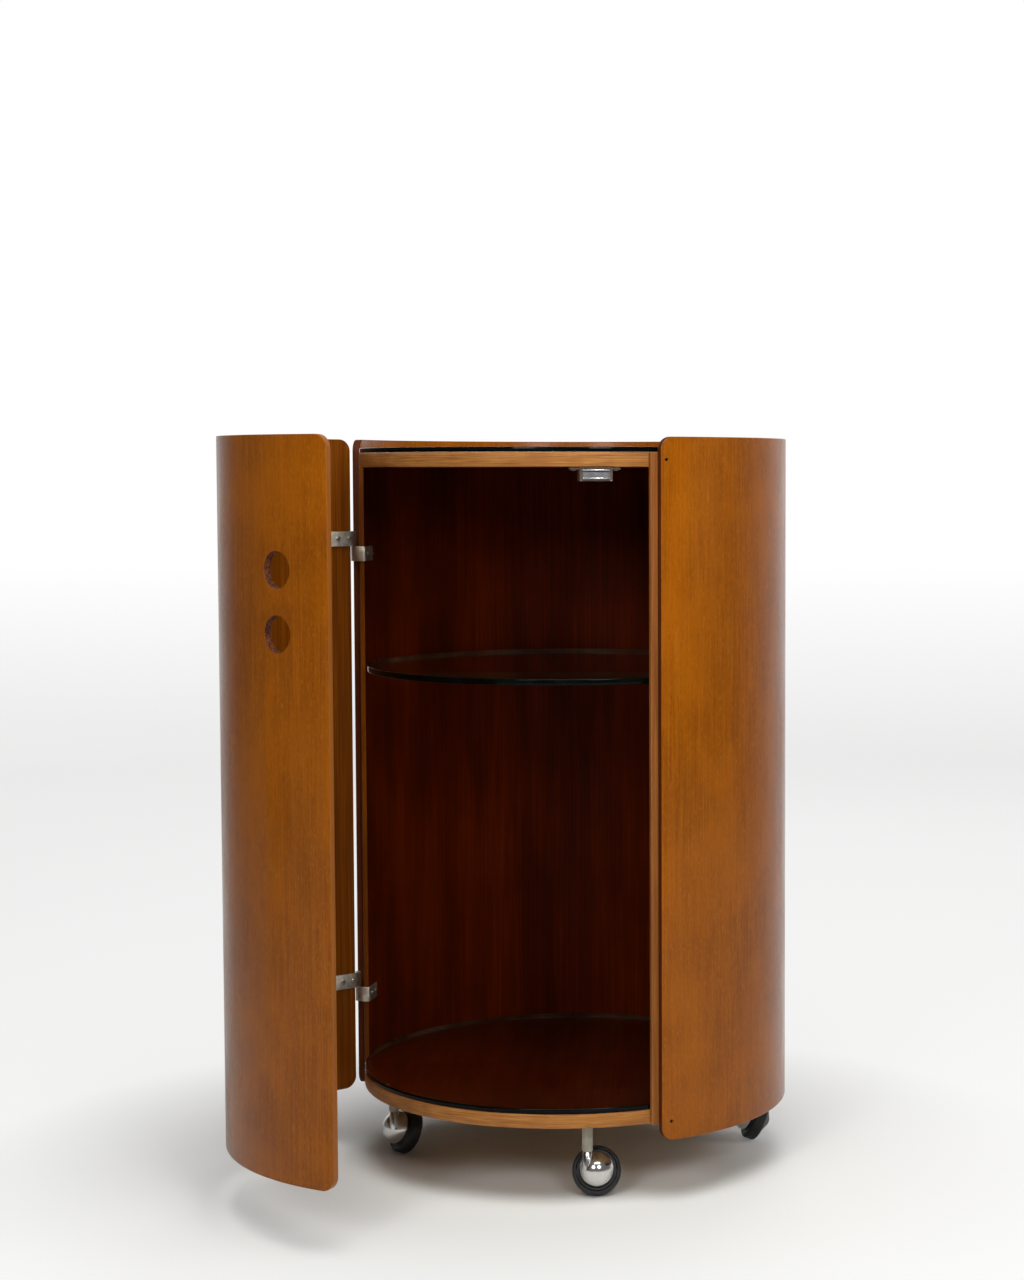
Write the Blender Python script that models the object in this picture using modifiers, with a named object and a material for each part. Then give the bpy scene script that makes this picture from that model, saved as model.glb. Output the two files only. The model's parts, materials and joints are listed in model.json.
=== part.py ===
"""Round bar cabinet: a drum on four ball casters with a curved door hung on two cranked hinges.

Metres, +Z up, the front faces -Y. Angles run from the front, positive to the right.
Everything is modelled round the drum's axis. The whole assembly is then moved so that
its rest-pose box stands centred on the origin.
"""
import math

import bmesh
import bpy
from mathutils import Matrix, Vector

# Driving sizes of the drum
BODY_R = 0.2250
SHELL_T = 0.0080
LINER_T = 0.0050
DOOR_T = 0.0075
BASE_LIFT = 0.0784
SHELL_DROP = 0.0151
SHELL_RISE = 0.0148
INNER_H = 0.6474
PANEL_T = 0.0140
PANEL_EDGE = 0.0008
GLASS_T = 0.0050
GLASS_EDGE = 0.0005
SHELF_T = 0.0060
SHELF_H = 0.4263
SHELF_EASE = 0.0065
CORNER_R = 0.0125
FIT = 0.0004
GAP = 0.0003

# Where the opening starts and stops
OPEN_LEFT = math.radians(-96.0)
OPEN_RIGHT = math.radians(27.0)
STOP_LAP = 0.0069
DOOR_OPEN = math.radians(50.4)
DOOR_FREE_GAP = 0.0020
DOOR_HINGE_GAP = 0.0066

# Finger holes in the door, measured down from the top board
HOLE_R = 0.0170
HOLE_ANGLE = math.radians(11.26)
HOLE_DROP = 0.1347
HOLE_PITCH = 0.0576

# Hinges: the split of the upper one is measured down from the top board
HINGE_IN = 0.0015
HINGE_AHEAD = 0.0031
HINGE_DROP = 0.0953
HINGE_LOW = 0.0905
LEAF_T = 0.0015
LEAF_H = 0.0155
DOOR_LEAF_L = 0.0245
DOOR_CRANK = math.radians(45.0)
BODY_LEAF_L = 0.0255
BODY_CRANK = 0.0019
BARREL_R = 0.00275
PIN_R = 0.0015

# Screws, pegs and pins
SCREW_R = 0.0015
SCREW_HEAD_R = 0.0027
SCREW_HEAD_T = 0.0010
SCREW_BITE = 0.0042
PEG_R = 0.0030
PEG_REACH = 0.0120
PEG_SEAT = 0.0038
PEG_START = math.radians(40.9)
PEG_PITCH = math.radians(73.6)
BRAD_R = 0.0012
BRAD_HIGH_IN = 0.0059
BRAD_LOW_IN = 0.0102
BRAD_H = 0.0035

# Magnetic catch
CATCH_ANGLE = math.radians(11.14)
CATCH_W = 0.0310
CATCH_H = 0.0130
CATCH_D = 0.0180
CATCH_AHEAD = 0.0025
EAR_W = 0.0500
EAR_T = 0.0022
EAR_D = 0.0090
POLE_W = 0.0266
POLE_H = 0.0095
POLE_T = 0.0012
STRIKE_W = 0.0240
STRIKE_H = 0.0120
STRIKE_T = 0.0012

# Ball casters, made in left and right hands that stand alternately round the drum
STEM_CIRCLE = 0.1816
STEM_START = math.radians(9.1)
HEADINGS = (math.radians(-86.8), math.radians(-170.0), math.radians(62.0), math.radians(-148.0))
HANDS = (1, -1, 1, -1)
SLEEVE_R = 0.00525
SLEEVE_L = 0.0300
SOCKET_ROOF = 0.0030
TENON_R = 0.0040
TENON_L = 0.0090
STEM_R = 0.0030
STEM_PLAY = 0.0010
BOSS_R = 0.0045
BOSS_EDGE = 0.0005
CAP_T = 0.0014
BALL_R = 0.0166
BALL_Q = 0.0090
TYRE_R = 0.0242
TYRE_W = 0.0130
TYRE_T = 0.0039
TYRE_ROUND = 0.0030
RIM_SINK = 0.0005
AXLE_TILT = math.radians(23.0)
AXLE_R = 0.0025
TRAIL = 0.0172
SIDE_STEP = 0.0090
HUB_R = 0.0062
HUB_Q = 0.0135
CUP_GAP = 0.0007

# How finely the round pieces are cut
WALL_STEP = math.radians(4.0)
CORNER_STEPS = 5
DISC_STEPS = 64
SCREW_STEPS = 10

# Sizes that follow from the ones above
SHELL_IN = BODY_R - SHELL_T
LINER_OUT = SHELL_IN - FIT
LINER_IN = LINER_OUT - LINER_T
PANEL_R = LINER_IN - FIT
GLASS_R = PANEL_R - FIT
SHELF_R = LINER_IN - SHELF_EASE
DOOR_IN = BODY_R - DOOR_T
WALL_LOW = BASE_LIFT - SHELL_DROP
WALL_HIGH = BASE_LIFT + INNER_H + SHELL_RISE
FLAT = math.cos(WALL_STEP / 2)
TOP_Z = BASE_LIFT + INNER_H - PANEL_T
HOLE_H = INNER_H - HOLE_DROP
HINGE_TOP = INNER_H - HINGE_DROP
LAP_TURN = STOP_LAP / LINER_OUT
DOOR_FROM = OPEN_LEFT + (HINGE_AHEAD + DOOR_HINGE_GAP) / BODY_R
DOOR_TO = OPEN_RIGHT - DOOR_FREE_GAP / BODY_R

# A clean scene with one collection for parts and one for cutters
for old in list(bpy.data.objects):
    bpy.data.objects.remove(old, do_unlink=True)
PARTS = bpy.data.collections.new("round_bar_cabinet")
CUTTERS = bpy.data.collections.new("cutters")
bpy.context.scene.collection.children.link(PARTS)
bpy.context.scene.collection.children.link(CUTTERS)


# Materials
def linear(channel):
    value = channel / 255
    return value / 12.92 if value <= 0.04045 else ((value + 0.055) / 1.055) ** 2.4


def material(name, code, roughness, metallic=0.0, transmission=0.0):
    mat = bpy.data.materials.new(name)
    mat.use_nodes = True
    shader = mat.node_tree.nodes["Principled BSDF"]
    rgb = [linear(int(code[i:i + 2], 16)) for i in (0, 2, 4)]
    shader.inputs["Base Color"].default_value = (*rgb, 1.0)
    shader.inputs["Roughness"].default_value = roughness
    shader.inputs["Metallic"].default_value = metallic
    shader.inputs["Transmission Weight"].default_value = transmission
    mat.diffuse_color = (*rgb, 1.0)
    return mat


VENEER = material("veneer_outer", "9A5418", 0.42)
LINING = material("veneer_inner", "6E3A18", 0.45)
PANEL = material("panel_wood", "A06A38", 0.50)
GLASS = material("clear_glass", "2E4A3C", 0.05, 0.0, 0.9)
STEEL = material("hinge_steel", "8A8078", 0.35, 1.0)
SCREW = material("screw_steel", "6E6860", 0.40, 1.0)
BRIGHT = material("bright_steel", "C8C6C0", 0.22, 1.0)
CATCHER = material("catch_plastic", "4A2C18", 0.50)
CHROME = material("chrome", "E2E2E0", 0.06, 1.0)
SOCKET = material("socket_plastic", "9A9686", 0.55)
BLACK = material("black_plastic", "17171A", 0.40)
RUBBER = material("tyre_rubber", "1C1C1E", 0.45)


# Object helpers
def empty(name, parent=None, matrix=None):
    obj = bpy.data.objects.new(name, None)
    obj.empty_display_size = 0.02
    PARTS.objects.link(obj)
    obj.parent = parent
    if matrix is not None:
        obj.matrix_basis = matrix
    return obj


def part(name, mesh, mat, parent):
    obj = bpy.data.objects.new(name, mesh)
    mesh.name = name
    mesh.materials.clear()
    mesh.materials.append(mat)
    PARTS.objects.link(obj)
    obj.parent = parent
    return obj


def cutter(name, mesh, parent):
    obj = bpy.data.objects.new(name, mesh)
    CUTTERS.objects.link(obj)
    obj.parent = parent
    obj.hide_render = True
    obj.display_type = "WIRE"
    return obj


def boolean(obj, other, operation="DIFFERENCE"):
    mod = obj.modifiers.new(operation.title(), "BOOLEAN")
    mod.operation = operation
    mod.solver = "EXACT"
    mod.object = other


def bevel(obj, width, segments=1):
    mod = obj.modifiers.new("Bevel", "BEVEL")
    mod.width = width
    mod.segments = segments
    mod.limit_method = "ANGLE"
    mod.angle_limit = math.radians(40)
    mod.harden_normals = False


def smooth(obj, angle=35):
    obj.data.polygons.foreach_set("use_smooth", [True] * len(obj.data.polygons))
    obj.data.set_sharp_from_angle(angle=math.radians(angle))


def to_mesh(bm, matrix=None):
    mesh = bpy.data.meshes.new("mesh")
    bm.to_mesh(mesh)
    bm.free()
    if matrix is not None:
        mesh.transform(matrix)
    return mesh


# Shape helpers
def box(size, centre, matrix=None):
    bm = bmesh.new()
    bmesh.ops.create_cube(bm, size=1.0)
    bmesh.ops.scale(bm, vec=size, verts=bm.verts)
    bmesh.ops.translate(bm, vec=centre, verts=bm.verts)
    return to_mesh(bm, matrix)


def rod(radius, low, high, steps=16, matrix=None):
    bm = bmesh.new()
    bmesh.ops.create_cone(bm, cap_ends=True, segments=steps, radius1=radius,
                          radius2=radius, depth=high - low)
    bmesh.ops.translate(bm, vec=(0, 0, (low + high) / 2), verts=bm.verts)
    return to_mesh(bm, matrix)


def merged(meshes):
    bm = bmesh.new()
    for mesh in meshes:
        bm.from_mesh(mesh)
    for mesh in meshes:
        bpy.data.meshes.remove(mesh)
    return to_mesh(bm)


def evaluated(obj):
    graph = bpy.context.evaluated_depsgraph_get()
    mesh = bpy.data.meshes.new_from_object(obj.evaluated_get(graph))
    bm = bmesh.new()
    bm.from_mesh(mesh)
    bmesh.ops.remove_doubles(bm, verts=bm.verts, dist=1e-6)
    bpy.data.meshes.remove(mesh)
    bpy.data.objects.remove(obj, do_unlink=True)
    return bm


def turned(profile, steps, matrix=None, closed=False):
    """Turn a profile of (radius, height) points, listed top to bottom, about Z."""
    count = len(profile)
    edges = [(i, i + 1) for i in range(count - 1)]
    if closed:
        edges.append((count - 1, 0))
    mesh = bpy.data.meshes.new("profile")
    mesh.from_pydata([(r, 0.0, z) for r, z in profile], edges, [])
    obj = bpy.data.objects.new("profile", mesh)
    bpy.context.scene.collection.objects.link(obj)
    mod = obj.modifiers.new("Screw", "SCREW")
    mod.axis = "Z"
    mod.steps = steps
    mod.render_steps = steps
    mod.use_merge_vertices = True
    mod.merge_threshold = 0.00001
    mod.use_normal_calculate = True
    bm = evaluated(obj)
    bmesh.ops.recalc_face_normals(bm, faces=bm.faces)
    return to_mesh(bm, matrix)


def prism(outline, low, high):
    """A closed plan outline filled and raised between two heights."""
    curve = bpy.data.curves.new("outline", "CURVE")
    curve.dimensions = "2D"
    curve.fill_mode = "BOTH"
    curve.extrude = (high - low) / 2
    spline = curve.splines.new("POLY")
    spline.points.add(len(outline) - 1)
    for point, place in zip(spline.points, outline):
        point.co = (place[0], place[1], 0.0, 1.0)
    spline.use_cyclic_u = True
    obj = bpy.data.objects.new("outline", curve)
    bpy.context.scene.collection.objects.link(obj)
    bm = evaluated(obj)
    bmesh.ops.translate(bm, vec=(0, 0, (low + high) / 2), verts=bm.verts)
    bmesh.ops.recalc_face_normals(bm, faces=bm.faces)
    return to_mesh(bm)


def strip(path, width):
    """Outline of a bent strip that follows a path with mitred corners."""
    sides = ([], [])
    for i, here in enumerate(path):
        back = (here - path[i - 1]).normalized() if i else None
        ahead = (path[i + 1] - here).normalized() if i + 1 < len(path) else None
        run = (back or ahead) + (ahead or back)
        run.normalize()
        across = Vector((-run.y, run.x))
        first = back or ahead
        reach = width / 2 / across.dot(Vector((-first.y, first.x)))
        sides[0].append(here + across * reach)
        sides[1].append(here - across * reach)
    return sides[0] + sides[1][::-1]


def around(angle, radius):
    return Vector((radius * math.sin(angle), -radius * math.cos(angle)))


def outward(angle, radius, height, origin=Vector((0, 0))):
    """Frame on the drum: X runs to the right, Y up and Z straight out."""
    spot = Matrix.Rotation(angle, 4, "Z") @ Matrix.Translation((0, -radius, height))
    shift = Matrix.Translation((-origin.x, -origin.y, 0))
    return shift @ spot @ Matrix.Rotation(math.pi / 2, 4, "X")


def column_list(start, stop, radius, corner):
    """Angles across a wall with the corner inset of each, closer together at the corners."""
    turn = corner / radius
    marks = [k * math.pi / 2 / CORNER_STEPS for k in range(CORNER_STEPS + 1)] if corner else [0]
    left = [(start + turn * (1 - math.cos(a)), corner * (1 - math.sin(a))) for a in marks]
    right = [(stop - turn * (1 - math.cos(a)), corner * (1 - math.sin(a))) for a in marks]
    first = left[-1][0]
    span = right[-1][0] - first
    count = math.ceil(span / WALL_STEP)
    middle = [(first + span * k / count, 0.0) for k in range(1, count)]
    return left + middle + right[::-1]


def curved_wall(name, outer, thick, start, stop, low, high, corner, mat, parent, origin=Vector((0, 0))):
    columns = column_list(start, stop, outer, corner)
    bm = bmesh.new()
    bmesh.ops.create_grid(bm, x_segments=len(columns) - 1, y_segments=1, size=1.0)
    for vert in bm.verts:
        slot = round((vert.co.x + 1) / 2 * (len(columns) - 1))
        angle, inset = columns[slot]
        spot = around(angle, outer) - origin
        height = high - inset if vert.co.y > 0 else low + inset
        vert.co = (spot.x, spot.y, height)
    obj = part(name, to_mesh(bm), mat, parent)
    mod = obj.modifiers.new("Solidify", "SOLIDIFY")
    mod.thickness = thick
    mod.offset = -1.0
    mod.use_even_offset = True
    smooth(obj)
    return obj


def disc(name, radius, low, high, edge, mat, parent):
    obj = part(name, rod(radius, low, high, DISC_STEPS), mat, parent)
    bevel(obj, edge)
    smooth(obj)
    return obj


def screw(grip, bite, head_r=SCREW_HEAD_R, head_t=SCREW_HEAD_T):
    """Profile of a low-headed screw that points up, its head resting a gap below zero."""
    tip = grip + bite
    return [(0, tip), (SCREW_R, tip - SCREW_R), (SCREW_R, -GAP), (head_r, -GAP),
            (head_r * 0.75, -GAP - head_t), (0, -GAP - head_t)]


# Frames: the drum, the door on its pin
frame = empty("cabinet_frame")
edge_out = around(OPEN_LEFT, 1.0)
edge_ahead = Vector((math.cos(OPEN_LEFT), math.sin(OPEN_LEFT)))
pin_at = edge_out * (BODY_R - HINGE_IN) + edge_ahead * HINGE_AHEAD
door_turn = Matrix.Translation((pin_at.x, pin_at.y, 0)) @ Matrix.Rotation(-DOOR_OPEN, 4, "Z")
door_frame = empty("door_frame", frame, door_turn)

# Walls: outer shell, inner liner that laps both sides of the opening, and the door
shell = curved_wall("body_shell", BODY_R, SHELL_T, OPEN_RIGHT, OPEN_LEFT + 2 * math.pi,
                    WALL_LOW, WALL_HIGH, CORNER_R, VENEER, frame)
liner = curved_wall("liner", LINER_OUT, LINER_T, OPEN_RIGHT - LAP_TURN, OPEN_LEFT + LAP_TURN + 2 * math.pi,
                    BASE_LIFT, BASE_LIFT + INNER_H, 0.0, LINING, frame)
door = curved_wall("door_panel", BODY_R, DOOR_T, DOOR_FROM, DOOR_TO, WALL_LOW, WALL_HIGH,
                   CORNER_R, VENEER, door_frame, pin_at)

# Finger holes
hole_cuts = []
for side in (-0.5, 0.5):
    place = outward(HOLE_ANGLE, BODY_R, BASE_LIFT + HOLE_H + side * HOLE_PITCH, pin_at)
    hole_cuts.append(rod(HOLE_R, -2 * DOOR_T, DOOR_T, 32, place))
boolean(door, cutter("finger_hole_cut", merged(hole_cuts), door_frame))

# Panels and glass
base = disc("base_panel", PANEL_R, BASE_LIFT, BASE_LIFT + PANEL_T, PANEL_EDGE, PANEL, frame)
top = disc("top_panel", PANEL_R, TOP_Z, TOP_Z + PANEL_T, PANEL_EDGE, PANEL, frame)
glass_low = BASE_LIFT + PANEL_T + GAP
disc("base_glass", GLASS_R, glass_low, glass_low + GLASS_T, GLASS_EDGE, GLASS, frame)
glass_top = TOP_Z + PANEL_T + GAP
disc("top_glass", GLASS_R, glass_top, glass_top + GLASS_T, GLASS_EDGE, GLASS, frame)
shelf_z = BASE_LIFT + SHELF_H
disc("shelf_glass", SHELF_R, shelf_z, shelf_z + SHELF_T, GLASS_EDGE, GLASS, frame)

# Shelf pegs in blind holes of the liner
peg_line = [(0, PEG_SEAT), (PEG_R, PEG_SEAT), (PEG_R, -PEG_REACH + PEG_R / 3),
            (PEG_R * 2 / 3, -PEG_REACH), (0, -PEG_REACH)]
peg_cuts = []
for k in range(4):
    spot = outward(PEG_START + k * PEG_PITCH, LINER_IN, shelf_z - PEG_R - GAP)
    smooth(part(f"shelf_peg_{k + 1}", turned(peg_line, 12, spot), STEEL, frame))
    peg_cuts.append(rod(PEG_R + GAP, -PEG_SEAT, PEG_SEAT + GAP, 12, spot))
boolean(liner, cutter("peg_cut", merged(peg_cuts), frame))

# Panel pins driven through the shell beside the opening
brad_cuts = []
brad_levels = (("low", BASE_LIFT + BRAD_H, BRAD_LOW_IN), ("high", TOP_Z + PANEL_T / 2, BRAD_HIGH_IN))
for side, edge, sense in (("right", OPEN_RIGHT, 1), ("left", OPEN_LEFT, -1)):
    for level, height, inset in brad_levels:
        spot = outward(edge + sense * inset / BODY_R, BODY_R * FLAT, height)
        smooth(part(f"panel_pin_{side}_{level}", rod(BRAD_R, -SHELL_T, -GAP, 12, spot), SCREW, frame))
        brad_cuts.append(rod(BRAD_R + GAP, -2 * SHELL_T, SHELL_T, 12, spot))
boolean(shell, cutter("brad_cut", merged(brad_cuts), frame))

# Hinge leaf outlines seen from above, measured from the pin
lap_angle = OPEN_LEFT + LAP_TURN
lap_out = around(lap_angle, 1.0)
lap_ahead = Vector((math.cos(lap_angle), math.sin(lap_angle)))
door_mid = OPEN_LEFT + (HINGE_AHEAD + DOOR_HINGE_GAP + DOOR_LEAF_L / 2 - LEAF_T / 2) / DOOR_IN
door_face = math.sqrt(DOOR_IN ** 2 - (DOOR_LEAF_L / 2) ** 2) * FLAT - GAP
door_lie = outward(door_mid, door_face, 0.0, pin_at)
body_mid = lap_angle - (BODY_LEAF_L / 2) / LINER_IN
body_face = math.sqrt(LINER_IN ** 2 - (BODY_LEAF_L / 2) ** 2) * FLAT - GAP
body_lie = outward(body_mid, body_face, 0.0, pin_at)


def on_leaf(lie, along):
    return (lie @ Vector((along, 0, -LEAF_T / 2))).to_2d()


# The door leaf cranks from the door's inner face straight into the barrel
leaf_near = on_leaf(door_lie, -DOOR_LEAF_L / 2)
crank_run = edge_out * math.cos(DOOR_CRANK) - edge_ahead * math.sin(DOOR_CRANK)
door_path = [on_leaf(door_lie, DOOR_LEAF_L / 2), leaf_near,
             leaf_near - crank_run * leaf_near.dot(crank_run)]

# The body leaf cranks from the barrel across the liner's end and turns back along its inner face
end_line = lap_ahead * (GAP + LEAF_T / 2) - pin_at
end_near = end_line + lap_out * (LINER_OUT + BODY_CRANK)
leg_far = on_leaf(body_lie, -BODY_LEAF_L / 2)
leg_near = on_leaf(body_lie, BODY_LEAF_L / 2)
leg_run = (leg_far - leg_near).normalized()
step = (end_near - leg_near).dot(lap_ahead) / leg_run.dot(lap_ahead)
body_path = [end_near.normalized() * PIN_R, end_near, leg_near + leg_run * step, leg_far]


def hinge_leaf(name, path, low, high, parent, shift, lie, along):
    outline = [p + shift for p in strip(path, LEAF_T)]
    leaf = part(name, prism(outline, low, high), STEEL, parent)
    place = Matrix.Translation((shift.x, shift.y, 0))
    boolean(leaf, cutter(name + "_barrel", rod(BARREL_R, low, high, 16, place), parent), "UNION")
    bore = rod(PIN_R + GAP, low - GAP, high + GAP, 12, place)
    holes = [bore]
    for x in along:
        spot = place @ lie @ Matrix.Translation((x, (low + high) / 2, 0))
        holes.append(rod(SCREW_R + GAP, -2 * LEAF_T, LEAF_T, SCREW_STEPS, spot))
    boolean(leaf, cutter(name + "_holes", merged(holes), parent))
    smooth(leaf)
    return leaf


# Two hinges: the door leaf stands on the pin above the split, the body leaf below it
no_shift = Vector((0, 0))
door_along = (-DOOR_LEAF_L * 0.36, DOOR_LEAF_L * 0.17)
body_along = (-BODY_LEAF_L * 0.32, BODY_LEAF_L * 0.25)
door_pilots = []
body_pilots = []
for label, split in (("upper", BASE_LIFT + HINGE_TOP), ("lower", BASE_LIFT + HINGE_LOW)):
    rise = (split + GAP / 2, split + LEAF_H)
    fall = (split - LEAF_H, split - GAP / 2)
    hinge_leaf(f"hinge_{label}_door_leaf", door_path, *rise, door_frame, no_shift, door_lie, door_along)
    hinge_leaf(f"hinge_{label}_body_leaf", body_path, *fall, frame, pin_at, body_lie, body_along)
    pin_place = Matrix.Translation((pin_at.x, pin_at.y, 0))
    pin = rod(PIN_R, split - LEAF_H + GAP, split + LEAF_H - GAP, 12, pin_place)
    smooth(part(f"hinge_{label}_pin", pin, BRIGHT, frame))
    for k, x in enumerate(door_along):
        spot = door_lie @ Matrix.Translation((x, sum(rise) / 2, -LEAF_T))
        thread = turned(screw(LEAF_T, SCREW_BITE), SCREW_STEPS, spot)
        smooth(part(f"hinge_{label}_door_screw_{k + 1}", thread, SCREW, door_frame))
        door_pilots.append(rod(SCREW_R + GAP, 0, LEAF_T + SCREW_BITE + GAP, SCREW_STEPS, spot))
    for k, x in enumerate(body_along):
        spot = pin_place @ body_lie @ Matrix.Translation((x, sum(fall) / 2, -LEAF_T))
        thread = turned(screw(LEAF_T, SCREW_BITE), SCREW_STEPS, spot)
        smooth(part(f"hinge_{label}_body_screw_{k + 1}", thread, SCREW, frame))
        body_pilots.append(rod(SCREW_R + GAP, 0, LEAF_T + SCREW_BITE + GAP, SCREW_STEPS, spot))
boolean(door, cutter("door_pilot_cut", merged(door_pilots), door_frame))
boolean(liner, cutter("body_pilot_cut", merged(body_pilots), frame))

# Magnetic catch hung under the top panel and its strike plate on the door
catch_turn = Matrix.Rotation(CATCH_ANGLE, 4, "Z")
catch_top = TOP_Z - GAP
catch_front = PANEL_R + CATCH_AHEAD
catch_mid = catch_top - CATCH_H / 2
housing_mesh = box((CATCH_W, CATCH_D, CATCH_H), (0, CATCH_D / 2 - catch_front, catch_mid), catch_turn)
housing = part("catch_housing", housing_mesh, CATCHER, frame)
ear_y = CATCH_D * 0.62 - catch_front
ears = box((EAR_W, EAR_D, EAR_T), (0, ear_y, catch_top - EAR_T / 2), catch_turn)
boolean(housing, cutter("catch_ears", ears, frame), "UNION")
ear_x = (CATCH_W + EAR_W) / 4
catch_holes = []
catch_pilots = []
for side, x in (("left", -ear_x), ("right", ear_x)):
    spot = catch_turn @ Matrix.Translation((x, ear_y, catch_top - EAR_T))
    thread = turned(screw(EAR_T, 2 * SCREW_BITE), SCREW_STEPS, spot)
    smooth(part(f"catch_screw_{side}", thread, SCREW, frame))
    catch_holes.append(rod(SCREW_R + GAP, -EAR_T, 2 * EAR_T, SCREW_STEPS, spot))
    catch_pilots.append(rod(SCREW_R + GAP, 0, EAR_T + 2 * SCREW_BITE + GAP, SCREW_STEPS, spot))
boolean(housing, cutter("catch_hole_cut", merged(catch_holes), frame))
boolean(top, cutter("catch_pilot_cut", merged(catch_pilots), frame))
pole_y = -catch_front - GAP - POLE_T / 2
pole = part("catch_plate", box((POLE_W, POLE_T, POLE_H), (0, pole_y, catch_mid), catch_turn), BRIGHT, frame)
bevel(pole, GAP)
strike_r = math.sqrt(DOOR_IN ** 2 - (STRIKE_W / 2) ** 2) * FLAT - GAP
strike_lie = outward(CATCH_ANGLE, strike_r, catch_mid, pin_at)
strike_mesh = box((STRIKE_W, STRIKE_H, STRIKE_T), (0, 0, -STRIKE_T / 2), strike_lie)
strike = part("strike_plate", strike_mesh, BRIGHT, door_frame)
sink = rod(SCREW_HEAD_R + GAP, -2 * STRIKE_T, STRIKE_T, 16, strike_lie)
boolean(strike, cutter("strike_hole_cut", sink, door_frame))
sunk = [(0, SCREW_BITE), (SCREW_R, SCREW_BITE - SCREW_R), (SCREW_R, 0),
        (SCREW_HEAD_R, -STRIKE_T * 0.6), (SCREW_HEAD_R, -STRIKE_T), (0, -STRIKE_T)]
smooth(part("strike_screw", turned(sunk, SCREW_STEPS, strike_lie), SCREW, door_frame))
strike_pilot = rod(SCREW_R + GAP, -STRIKE_T, SCREW_BITE + GAP, SCREW_STEPS, strike_lie)
boolean(door, cutter("strike_pilot_cut", strike_pilot, door_frame))

# Casters: heights of the tilted wheel above the floor, from the tyre's rounded shoulder
tilt_c = math.cos(AXLE_TILT)
tilt_s = math.sin(AXLE_TILT)
round_q = TYRE_W / 2 - TYRE_ROUND
wheel_z = (TYRE_R - TYRE_ROUND) * tilt_c + round_q * tilt_s + TYRE_ROUND
rim_r = TYRE_R - TYRE_T - GAP
rim_q = TYRE_W / 2 - RIM_SINK
cup_r = BALL_R + CUP_GAP
bore_r = AXLE_R + GAP
swivel_z = BASE_LIFT - SLEEVE_L


def rounded(centre_r, centre_q, radius, start, stop, steps):
    turn = [math.radians(start + (stop - start) * k / steps) for k in range(steps + 1)]
    return [(centre_r + radius * math.cos(a), centre_q + radius * math.sin(a)) for a in turn]


# Tyre, wheel and axle profiles run along the axle, from the ball side to the back
tyre_line = [(TYRE_R - TYRE_T, TYRE_W / 2)]
tyre_line += rounded(TYRE_R - TYRE_ROUND, round_q, TYRE_ROUND, 90, 0, 2)
tyre_line += rounded(TYRE_R - TYRE_ROUND, -round_q, TYRE_ROUND, 0, -90, 2)
tyre_line += [(TYRE_R - TYRE_T, -TYRE_W / 2)]
cup_start = math.degrees(math.asin(bore_r / cup_r))
cup_stop = math.degrees(math.acos((BALL_Q - rim_q) / cup_r))
cup_line = [math.radians(cup_start + (cup_stop - cup_start) * k / 5) for k in range(6)]
wheel_line = [(cup_r * math.sin(a), BALL_Q - cup_r * math.cos(a)) for a in reversed(cup_line)]
wheel_line = [(rim_r, rim_q), (rim_r, -rim_q), (HUB_R, -HUB_Q), (bore_r, -HUB_Q)] + wheel_line[::-1]
axle_tip = BALL_Q - BALL_R * 0.45
cap_q = -HUB_Q - GAP
axle_line = [(0, axle_tip), (AXLE_R, axle_tip), (AXLE_R, cap_q), (HUB_R * 0.75, cap_q),
             (HUB_R * 0.75, cap_q - CAP_T / 2), (HUB_R * 0.5, cap_q - CAP_T), (0, cap_q - CAP_T)]
roof_z = BASE_LIFT - SOCKET_ROOF
socket_line = [(0, BASE_LIFT + TENON_L), (TENON_R, BASE_LIFT + TENON_L), (TENON_R, BASE_LIFT - GAP),
               (SLEEVE_R, BASE_LIFT - GAP), (SLEEVE_R, swivel_z), (STEM_R + GAP, swivel_z),
               (STEM_R + GAP, roof_z), (0, roof_z)]
ball_z = wheel_z + BALL_Q * tilt_s
stem_z = roof_z - STEM_PLAY
boss_z = swivel_z - GAP
boss_line = [(0, stem_z), (STEM_R, stem_z), (STEM_R, boss_z),
             (BOSS_R - BOSS_EDGE, boss_z), (BOSS_R, boss_z - BOSS_EDGE)]
boss_line += rounded(0, ball_z, BOSS_R, 0, -90, 3)[:-1]
boss_line += [(0, ball_z - BOSS_R)]

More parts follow.
